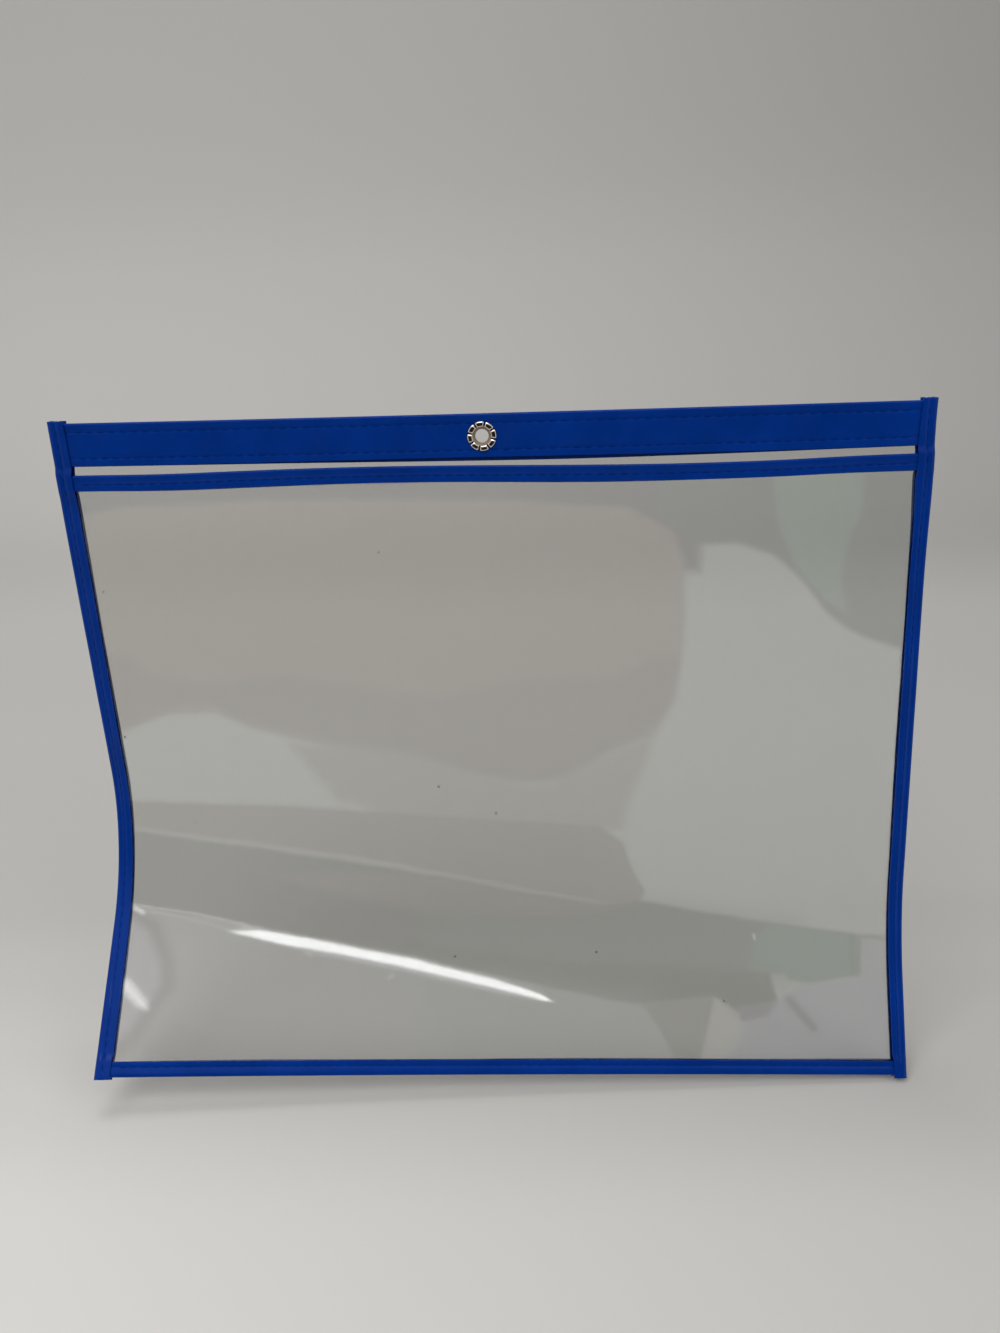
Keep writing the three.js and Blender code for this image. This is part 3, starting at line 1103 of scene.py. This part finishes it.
def stage_piece(name, bm, material):
    """A piece of the stage, which isn't part of the holder."""
    mesh = bpy.data.meshes.new(name)
    bm.to_mesh(mesh)
    bm.free()
    mesh.shade_smooth()
    mesh.materials.append(material)
    piece = bpy.data.objects.new(name, mesh)
    bpy.context.scene.collection.objects.link(piece)
    return piece


# How far the paper has gone from the floor's colour to the backdrop's, by its depth. This is
# painted light and shade: it darkens the floor under the holder and just in front of it, where the
# holder's shadow falls, and grows lighter again towards the curve and the backdrop, where the
# paper takes less light.
PAINTED_PAPER_SHADE = (
    (0.001, 0.0), (0.055, 0.02), (0.093, 0.38), (0.11, 0.50), (0.145, 0.72), (0.18, 0.92),
    (0.25, 0.90), (0.36, 0.83), (0.535, 0.62), (0.80, 0.50), (0.999, 0.40),
)

# Painted shade: how much darker the paper grows from the picture's left to its right, by its
# depth, as if the light fell from the left. On the floor round the holder it also stands in for
# the holder's shadow to its right.
PAINTED_SIDE_SHADE = ((0.001, 0.20), (0.12, 0.22), (0.19, 0.06), (0.50, 0.08), (0.75, 0.20), (0.999, 0.24))

# The depths at which both begin and end. How far left or right a place lies is its distance
# across divided by its distance behind a line in front, which counts as no less than the nearest
PAPER_DEPTHS = (-0.2, 1.4)
SLANT_LINE = 0.5
SLANT_NEAREST = 0.3
SLANT_WIDEST = 0.42


def backdrop_paper():
    """Pale paper that grows darker from the floor in front to the backdrop behind, with painted
    light and shade: darker under the holder and towards the right, lighter low down and where its
    curve takes less light.
    """
    colours = bpy.context.scene.holder_colours
    material, nodes, links, output = new_material("backdrop_paper")
    place = nodes.new("ShaderNodeTexCoord")
    split = nodes.new("ShaderNodeSeparateXYZ")
    links.new(place.outputs["Object"], split.inputs["Vector"])
    shader = nodes.new("ShaderNodeBsdfDiffuse")
    depth = ranged(nodes, links, split.outputs["Y"], 0, 1, *PAPER_DEPTHS)
    tones = []
    for place_along, share in PAINTED_PAPER_SHADE:
        tone = [f + (w - f) * share for f, w in zip(colours.floor, colours.wall)]
        tones.append((place_along, tone))
    tone = graded(nodes, links, depth, tones, "EASE")
    ahead = worked(nodes, links, "ADD", split.outputs["Y"], SLANT_LINE)
    ahead = worked(nodes, links, "MAXIMUM", ahead, SLANT_NEAREST)
    slant = worked(nodes, links, "DIVIDE", split.outputs["X"], ahead)
    to_right = ranged(nodes, links, slant, 0.0, -1.0, -SLANT_WIDEST, SLANT_WIDEST)
    # Painted shade: darker towards the picture's right
    side_shade = graded(nodes, links, depth, [(at, (drop, drop, drop)) for at, drop in PAINTED_SIDE_SHADE])
    lost = worked(nodes, links, "MULTIPLY", to_right, side_shade)
    sideways = worked(nodes, links, "ADD", lost, 1)
    # Painted light and shade: the paper lighter low down and darker higher up
    height_shade = ranged(nodes, links, split.outputs["Z"], 1.16, 1.0, 0.1, 0.6)
    both = worked(nodes, links, "MULTIPLY", sideways, height_shade)
    shade = nodes.new("ShaderNodeVectorMath")
    shade.operation = "SCALE"
    links.new(tone, shade.inputs[0])
    links.new(both, shade.inputs["Scale"])
    links.new(shade.outputs["Vector"], shader.inputs["Color"])
    links.new(shader.outputs["BSDF"], output.inputs["Surface"])
    return material


def toward(azimuth, elevation):
    """The direction at an azimuth from the front and an elevation, both in degrees."""
    a, e = np.radians(azimuth), np.radians(elevation)
    return np.stack((np.sin(a) * np.cos(e), -np.cos(a) * np.cos(e), np.sin(e)), axis=-1)


# Painted reflections: what the films mirror towards the camera, painted as patches of light on one
# glowing sheet. Each part is an area, or a line with its half width, then its soft edge, its
# light, and its outline on the sheet: millimetres across and down. A later part lies over the
# earlier ones.
# The painted reflection's light where no part lies
PAINTED_REFLECTION_BASE = (1.06, 1.11, 1.04)
PAINTED_REFLECTIONS = (
    # Upper band
    ("area", 0, 3.0, (0.36, 0.35, 0.36), (
        (-170, 5), (78, 5), (78, 60), (-170, 60),
    )),
    # Upper right
    ("area", 0, 1.6, (0.34, 0.40, 0.38), (
        (69.5, 43.5), (75.5, 49.7), (91.5, 50), (105, 54.5), (114.5, 62.5), (125.5, 77),
        (134.5, 84), (143, 88), (168, 97), (168, 5), (60, 5), (62, 38),
    )),
    # Green patch, upper
    ("area", 0, 1.2, (0.46, 0.66, 0.53), (
        (103, 23.8), (137, 24.8), (137, 40.1), (133, 49.3), (131, 63.3), (134, 77.9), (125, 72.6),
        (113, 58.1), (106, 43.3),
    )),
    # Warm patch
    ("area", 0, 1.8, (0.72, 0.64, 0.56), (
        (-170, 52), (-160, 36), (-141, 31.1), (-89, 29.5), (-39, 29.8), (4, 31.1), (50, 34.9),
        (68, 44.7), (72, 55.3), (73, 80.6), (70, 110.8), (62, 125.3), (46, 132.4), (27, 145.5),
        (4, 146.4), (-46, 138.1), (-67, 131), (-100, 122), (-115, 115), (-134, 116.3),
        (-152, 124), (-170, 130),
    )),
    # Warm patch, lower
    ("area", 0, 1.8, (0.60, 0.53, 0.48), (
        (-163, 87.9), (-146, 90.9), (-137, 99), (-115, 103.3), (-87, 99.2), (-49, 105),
        (-22, 109), (-2, 104.1), (17, 101.4), (44, 101.8), (54, 98.3), (60, 93.1), (71, 93.3),
        (70, 103.4), (66, 115.3), (56, 126.9), (44, 132), (31, 140.2), (21, 145), (6, 145.1),
        (-14, 140.2), (-34, 133.2), (-59, 129.2), (-89, 122.1), (-104, 118.2), (-110, 114.2),
        (-116, 111.2), (-126, 111.2), (-137, 115.6), (-161, 124.6), (-168, 128.3),
    )),
    # Under the warm patch
    ("area", 0, 3.0, (0.76, 0.73, 0.66), (
        (-85, 129.3), (-59, 130.5), (-34, 134.5), (-14, 141.6), (6, 146.4), (21, 146.4),
        (31, 141.5), (44, 133.3), (56, 128.2), (62, 125.3), (56, 144.6), (52, 154.6), (49, 166.3),
        (0, 163.1), (-47, 160.4), (-68, 153.9),
    )),
    # Brown band
    ("area", 0, 1.0, (0.60, 0.54, 0.48), (
        (-167, 155.8), (-100, 156.9), (-47, 159.5), (0, 162.2), (40, 164.6), (50, 172.3),
        (53, 182.3), (59, 193.4), (56, 198.6), (40, 197.8), (-1, 190.3), (-48, 181.2),
        (-101, 173.9), (-166, 166.3),
    )),
    # Olive band
    ("area", 0, 0.9, (0.32, 0.33, 0.30), (
        (-167, 167.6), (-101, 175.7), (-48, 183.3), (-1, 192.1), (40, 198.7), (59, 197.3),
        (80, 201.4), (103, 205.5), (145, 210.6), (167, 212.6), (167, 220.8), (144, 227.4),
        (116, 229.2), (115, 226.8), (108, 226.8), (111, 237.6), (95, 241.7), (86, 236.1),
        (56, 239.5), (43, 237.9), (23, 233.3), (-30, 222.6), (-109, 207.3), (-167, 198),
    )),
    # Olive band, right
    ("area", 0, 14.0, (0.35, 0.40, 0.34), (
        (-30, 196.9), (-1, 198.9), (40, 203.3), (79, 205.6), (117, 210.8), (115, 226.8),
        (108, 226.8), (104, 233.2), (95, 238.5), (80, 233.4), (57, 235.9), (23, 229.7),
        (-30, 217.7),
    )),
    # Warm wedge
    ("area", 0, 2.5, (0.50, 0.44, 0.39), (
        (-95, 187.6), (-71, 186.1), (-34, 185.8), (-1, 193.3), (40, 199.5), (51, 200.3),
        (24, 203.8), (-34, 202), (-63, 195.8),
    )),
    # Olive band, foot
    ("area", 0, 1.2, (0.27, 0.30, 0.25), (
        (-42, 214.5), (23, 222.8), (56, 223.9), (91, 225.3), (108, 226.8), (111, 237.6),
        (95, 241.7), (86, 235.4), (56, 238.7), (23, 232.5), (-30, 221.8),
    )),
    # Light line
    ("line", 0.5, 0.5, (0.80, 0.77, 0.70), (
        (-167, 166.7), (-101, 174.8), (-48, 182.5), (-1, 191.2), (40, 198.2),
    )),
    # Lower left
    ("area", 0, 1.0, (0.88, 0.89, 0.88), (
        (-170, 198.6), (-109, 208.1), (-30, 223.4), (23, 234), (43, 238.7), (56, 240.3),
        (63, 249.3), (75, 269.8), (-168, 268.9), (-169, 237.5),
    )),
    # Lower middle
    ("area", 0, 16.0, (0.78, 0.82, 0.78), (
        (-30, 231.8), (23, 237.6), (43, 240.7), (56, 242.2), (63, 251.3), (71, 269.8),
        (-26, 269.7),
    )),
    # Under the band
    ("area", 0, 1.2, (0.56, 0.58, 0.52), (
        (56, 238.7), (86, 235.4), (77, 269.8), (73, 269.8), (63, 249.3),
    )),
    # Lower right
    ("area", 0, 1.5, (0.86, 0.88, 0.98), (
        (111, 237.6), (120, 231.1), (144, 228.2), (166, 222.8), (165, 269.4), (78, 269.8),
        (93, 255.9), (97, 246.8), (96, 242),
    )),
    # Lower right, light
    ("area", 0, 1.0, (1.05, 1.06, 0.98), (
        (86, 236.5), (97, 246.8), (93, 255.9), (77, 269.8),
    )),
    # Right of the green patch
    ("area", 0, 1.4, (0.86, 0.88, 0.9), (
        (146, 211.9), (161, 213.1), (164, 230.9), (145, 228.6), (145, 220.9),
    )),
    # Darker patch of painted reflection
    ("area", 0, 1.2, (0.48, 0.48, 0.56), (
        (95, 240.1), (111, 238), (107, 243.6), (96, 246),
    )),
    # Second darker patch of painted reflection
    ("line", 1.6, 1.8, (0.40, 0.42, 0.48), (
        (116, 237.1), (120, 241.9), (125, 248.2),
    )),
    # Green patch, lower
    ("area", 0, 0.9, (0.36, 0.58, 0.44), (
        (108, 207.1), (145, 211), (144, 227.4), (124, 230.7), (117, 229.2), (115, 226.8),
        (100, 225.3), (103, 213.8),
    )),
    # Green patch, end
    ("line", 1.0, 1.2, (0.28, 0.42, 0.32), (
        (142, 211.9), (142, 225.8),
    )),
    # Pale corner
    ("area", 0, 3.0, (1.05, 1.05, 1.10), (
        (-170, 205), (-147, 207.8), (-141, 221.9), (-140, 237.6), (-146, 245.2), (-166, 268.9),
        (-171, 229.8),
    )),
    # Dark curl
    ("line", 2.6, 3.4, (0.50, 0.50, 0.53), (
        (-161, 198.4), (-145, 208.6), (-138, 222.7), (-137, 231.8), (-142, 239.9), (-148, 250.5),
        (-163, 266),
    )),
    # Bright spot in the corner
    ("area", 0, 2.2, (3.6, 3.6, 3.7), (
        (-157, 229), (-153, 229.5), (-145, 238), (-144.5, 241), (-148, 240), (-156, 233),
    )),
    # Upper glint
    ("line", 0.35, 0.5, (1.7, 1.7, 1.7), (
        (-166, 198.4), (-135, 202), (-107, 207.7),
    )),
    # Lower glint
    ("line", 0.3, 0.5, (1.3, 1.3, 1.3), (
        (-165, 200), (-134, 204.5), (-111, 210.2),
    )),
    # Glint
    ("line", 0.7, 0.9, (3.0, 3.0, 3.0), (
        (-154, 201), (-150.5, 203),
    )),
    # Painted glint: a white speck
    ("line", 0.5, 0.5, (1.7, 1.7, 1.7), (
        (102.3, 211.5), (102.7, 213.0),
    )),
    # Painted glint: a white speck
    ("line", 0.4, 0.4, (1.8, 1.8, 1.8), (
        (-81, 219.1), (-79, 220.3),
    )),
    # Painted glint: a white speck
    ("line", 0.4, 0.4, (1.8, 1.8, 1.8), (
        (-47, 229.4), (-45, 227.8),
    )),
    # Bright streak, glow
    ("area", 0, 1.0, (1.7, 1.75, 1.75), (
        (-115, 210.6), (-107, 207.9), (-77, 213), (-34, 221.4), (-1, 229.7), (15, 234.9),
        (21, 238.4), (15, 238), (-1, 235.3), (-34, 227.8), (-67, 221.5), (-98, 214.6),
    )),
    # Bright streak
    ("area", 0, 0.45, (5.6, 5.7, 5.7), (
        (-113, 210.4), (-100, 209.9), (-77, 213.8), (-34, 222.4), (-1, 230.3), (15, 235.1),
        (20, 238.2), (16, 237.8), (-1, 233.5), (-34, 226.2), (-67, 219.6), (-92, 215.2),
    )),
)


# The sheet that carries them: how far it stands from the film, its half width, top and height
# in millimetres on the film, its cells across and down, and a short way along the film
ROOM_AWAY = 25 * MM
ROOM_HALF_WIDTH = 155.5
ROOM_TOP = 24.5
ROOM_HEIGHT = 236.5
ROOM_CELLS = (400, 312)
NEARBY = 0.5 * MM


def covered(mode, half, soft, outline, across, down):
    """How far each place is covered by an area or a line: 1 inside it and 0 outside it."""
    ends = list(zip(outline, outline[1:] + outline[:1]))
    if mode == "line":
        ends.pop()
    inside = np.zeros(across.shape, bool)
    nearest = np.full(across.shape, np.inf)
    for (x0, y0), (x1, y1) in ends:
        run, fall = x1 - x0, y1 - y0
        if fall:
            crossing = (y0 > down) != (y1 > down)
            inside ^= crossing & (across < x0 + run * (down - y0) / fall)
        share = ((across - x0) * run + (down - y0) * fall) / (run * run + fall * fall)
        share = np.clip(share, 0, 1)
        away = np.hypot(across - x0 - share * run, down - y0 - share * fall)
        nearest = np.minimum(nearest, away)
    if mode == "line":
        depth = half - nearest
    else:
        depth = np.where(inside, nearest, -nearest)
    return smooth(depth, -soft, soft)


def mirrored(across, down, reach):
    """Places that the camera sees mirrored in the front film, at a distance from it."""
    over = pocket_heights()[1] + LAYER_GAP

    def face(a, d):
        return lay(a, d, over - gape(a, d))

    point = face(across, down)
    normal = np.cross(face(across + NEARBY, down) - point, face(across, down + NEARBY) - point)
    normal /= np.linalg.norm(normal, axis=1)[:, None]
    ray = point - np.array(CAMERA_PLACE)
    ray /= np.linalg.norm(ray, axis=1)[:, None]
    ray -= 2 * np.sum(ray * normal, axis=1)[:, None] * normal
    return point + reach * ray


def painted_reflection_sheet():
    """Painted reflections of the room that the films mirror: one glowing sheet close in front of
    them, painted with patches of light, which only shows in reflections."""
    bm = bmesh.new()
    bmesh.ops.create_grid(bm, x_segments=ROOM_CELLS[0], y_segments=ROOM_CELLS[1], size=1)
    x, y, _ = corners(bm)
    across = ROOM_HALF_WIDTH * x
    down = ROOM_TOP + ROOM_HEIGHT * (y + 1) / 2
    light = np.tile(PAINTED_REFLECTION_BASE, (len(x), 1))
    for mode, half, soft, level, outline in PAINTED_REFLECTIONS:
        share = covered(mode, half, soft, outline, across, down)[:, None]
        light = light + (np.array(level) - light) * share
    move_to(bm, mirrored(across * MM, down * MM, ROOM_AWAY))
    mesh = bpy.data.meshes.new("painted_reflection_sheet")
    bm.to_mesh(mesh)
    bm.free()
    attribute = mesh.attributes.new("light", "FLOAT_VECTOR", "POINT")
    attribute.data.foreach_set("vector", light.astype(np.float32).ravel())
    material, nodes, links, output = new_material("painted_reflection_sheet")
    material.cycles.emission_sampling = "NONE"
    source = nodes.new("ShaderNodeAttribute")
    source.attribute_name = "light"
    glow = nodes.new("ShaderNodeEmission")
    glow.inputs["Strength"].default_value = 1
    links.new(source.outputs["Color"], glow.inputs["Color"])
    links.new(glow.outputs["Emission"], output.inputs["Surface"])
    mesh.materials.append(material)
    return only_reflected("painted_reflection_sheet", mesh)


def only_reflected(name, mesh):
    """An object of the stage that only shows in reflections."""
    piece = bpy.data.objects.new(name, mesh)
    bpy.context.scene.collection.objects.link(piece)
    piece.visible_camera = False
    piece.visible_diffuse = False
    piece.visible_transmission = False
    piece.visible_volume_scatter = False
    piece.visible_shadow = False
    return piece


# The middle of the reflection cards' sphere, and the share of a card that is its soft edge
CARD_CENTRE = np.array((0.0, -0.02, -0.12))
CARD_SOFT = 0.15


def card(name, azimuths, elevations, level, distance):
    """A soft-edged card that only shows in reflections. It spans azimuths and elevations in
    degrees from the holder's middle."""
    bm = bmesh.new()
    bmesh.ops.create_grid(bm, x_segments=40, y_segments=24, size=1)
    x, y, _ = corners(bm)
    azimuth = np.interp(x, (-1, 1), azimuths)
    elevation = np.interp(y, (-1, 1), elevations)
    move_to(bm, CARD_CENTRE + distance * toward(azimuth, elevation))
    mesh = bpy.data.meshes.new(name)
    bm.to_mesh(mesh)
    bm.free()
    edge = 1 - smooth((np.abs(x) ** 4 + np.abs(y) ** 4) ** 0.25, 1 - CARD_SOFT, 1.0)
    attribute = mesh.attributes.new("edge", "FLOAT", "POINT")
    attribute.data.foreach_set("value", edge.astype(np.float32))
    material, nodes, links, output = new_material(name)
    material.cycles.emission_sampling = "NONE"
    fade = nodes.new("ShaderNodeAttribute")
    fade.attribute_name = "edge"
    clear = nodes.new("ShaderNodeBsdfTransparent")
    glow = nodes.new("ShaderNodeEmission")
    glow.inputs["Strength"].default_value = level
    mix = nodes.new("ShaderNodeMixShader")
    links.new(fade.outputs["Fac"], mix.inputs["Fac"])
    links.new(clear.outputs["BSDF"], mix.inputs[1])
    links.new(glow.outputs["Emission"], mix.inputs[2])
    links.new(mix.outputs["Shader"], output.inputs["Surface"])
    mesh.materials.append(material)
    return only_reflected(name, mesh)


def lamp(name, place, target, side, power):
    """A large soft lamp that lights the holder and doesn't show in its films."""
    data = bpy.data.lights.new(name, "AREA")
    data.shape = "RECTANGLE"
    data.size = side
    data.size_y = side
    data.energy = power
    light = bpy.data.objects.new(name, data)
    bpy.context.scene.collection.objects.link(light)
    light.location = place
    aim = Vector(target) - Vector(place)
    light.rotation_euler = aim.to_track_quat("-Z", "Y").to_euler()
    light.visible_glossy = False
    return light


class HOLDER_OT_stage(bpy.types.Operator):
    """Add the floor and backdrop, the lamps, the sheet of painted reflections, the reflection
    cards and the camera
    """

    bl_idname = "holder.stage"
    bl_label = "Stage"

    def execute(self, context):
        scene = context.scene
        stage = scene.holder_stage
        self.paper(CAD_BOX[0][2] - 0.8 * MM)
        lamp("key_lamp", (-0.9, -1.3, 1.6), (0, 0, -0.12), 1.5, stage.key)
        lamp("fill_lamp", (1.3, -1.0, 0.9), (0, 0, -0.12), 1.2, stage.fill)
        lamp("top_lamp", (-0.2, 0.3, 1.5), (0, -0.05, -0.2), 0.7, stage.top)
        # A glowing sheet of painted reflections close in front of the films
        painted_reflection_sheet()
        card("dark_front", (-50, 50), (-62, 30), 0.02, 0.9)
        card("ceiling", (-60, 40), (42, 70), 4.5, 1.2)
        self.sky(stage.sky, stage.seen)
        camera = bpy.data.cameras.new("camera")
        camera.lens = 27.0
        camera.sensor_width = 36.0
        camera.clip_start = 0.01
        camera.clip_end = 50
        viewer = bpy.data.objects.new("camera", camera)
        scene.collection.objects.link(viewer)
        up = CAMERA_RIGHT.cross(CAMERA_FORWARD)
        turn = Matrix((CAMERA_RIGHT, up, -CAMERA_FORWARD)).transposed().to_4x4()
        viewer.matrix_world = Matrix.Translation(CAMERA_PLACE) @ turn
        scene.camera = viewer
        scene.view_settings.view_transform = "Standard"
        scene.cycles.transparent_max_bounces = 32
        return {"FINISHED"}

    def paper(self, level):
        """One sheet of paper from the floor in front up to the backdrop behind."""
        bm = bmesh.new()
        bmesh.ops.create_grid(bm, x_segments=2, y_segments=100, size=1)
        x, y, _ = corners(bm)
        along = (y + 1) / 2
        front, flat_end, curve, rise, half_width = -5.0, 0.9, 0.5, 2.2, 7
        run = flat_end - front
        total = run + curve * math.pi / 2 + rise
        distance = along * total
        turn = np.clip((distance - run) / curve, 0, math.pi / 2)
        beyond = np.maximum(distance - run - curve * math.pi / 2, 0)
        depth = np.minimum(distance, run) + front + curve * np.sin(turn)
        height = level + curve * (1 - np.cos(turn)) + beyond
        move_to(bm, np.stack((x * half_width, depth, height), axis=1))
        paper = stage_piece("backdrop", bm, backdrop_paper())
        paper.visible_glossy = False

    def sky(self, strength, seen):
        """Even pale light from all round, which shows brighter than it lights."""
        world = bpy.data.worlds.new("soft_sky")
        world.use_nodes = True
        nodes, links = world.node_tree.nodes, world.node_tree.links
        background = nodes["Background"]
        background.inputs["Color"].default_value = (0.985, 0.99, 1.0, 1)
        path = nodes.new("ShaderNodeLightPath")
        rays = ("Is Camera Ray", "Is Glossy Ray", "Is Transmission Ray")
        shown = path.outputs[rays[0]]
        for ray in rays[1:]:
            shown = worked(nodes, links, "MAXIMUM", shown, path.outputs[ray])
        level = ranged(nodes, links, shown, strength, seen, 0, 1)
        links.new(level, background.inputs["Strength"])
        bpy.context.scene.world = world


class HOLDER_PT_panel(bpy.types.Panel):
    """The holder's pieces, sizes and colours"""

    bl_label = "Document Holder"
    bl_idname = "HOLDER_PT_panel"
    bl_space_type = "VIEW_3D"
    bl_region_type = "UI"
    bl_category = "Holder"

    def draw(self, context):
        for step in STEPS:
            self.layout.operator(step.bl_idname)
        for group in GROUPS:
            box = self.layout.box()
            for key in GROUPS[group].__annotations__:
                box.prop(getattr(context.scene, group), key)


STEPS = (
    HOLDER_OT_films,
    HOLDER_OT_cross_bindings,
    HOLDER_OT_side_bindings,
    HOLDER_OT_seams,
    HOLDER_OT_eyelet,
    HOLDER_OT_stage,
)
GROUPS = {
    "holder_sizes": HolderSizes,
    "holder_seams": HolderSeams,
    "holder_eyelet": HolderEyelet,
    "holder_colours": HolderColours,
    "holder_stage": HolderStage,
}


def register():
    """Registers the groups, the operators and the panel."""
    for group, made in GROUPS.items():
        bpy.utils.register_class(made)
        setattr(bpy.types.Scene, group, bpy.props.PointerProperty(type=made))
    for made in (*STEPS, HOLDER_PT_panel):
        bpy.utils.register_class(made)


def unregister():
    """Takes the panel, the operators and the groups out again."""
    for made in reversed((*STEPS, HOLDER_PT_panel)):
        bpy.utils.unregister_class(made)
    for group, made in reversed(list(GROUPS.items())):
        delattr(bpy.types.Scene, group)
        bpy.utils.unregister_class(made)


def main():
    """Registers the add-on, makes every piece and keeps the sizes."""
    register()
    bpy.ops.holder.films()
    bpy.ops.holder.cross_bindings()
    bpy.ops.holder.side_bindings()
    bpy.ops.holder.seams()
    bpy.ops.holder.eyelet()
    bpy.ops.holder.stage()


if __name__ == "__main__":
    main()
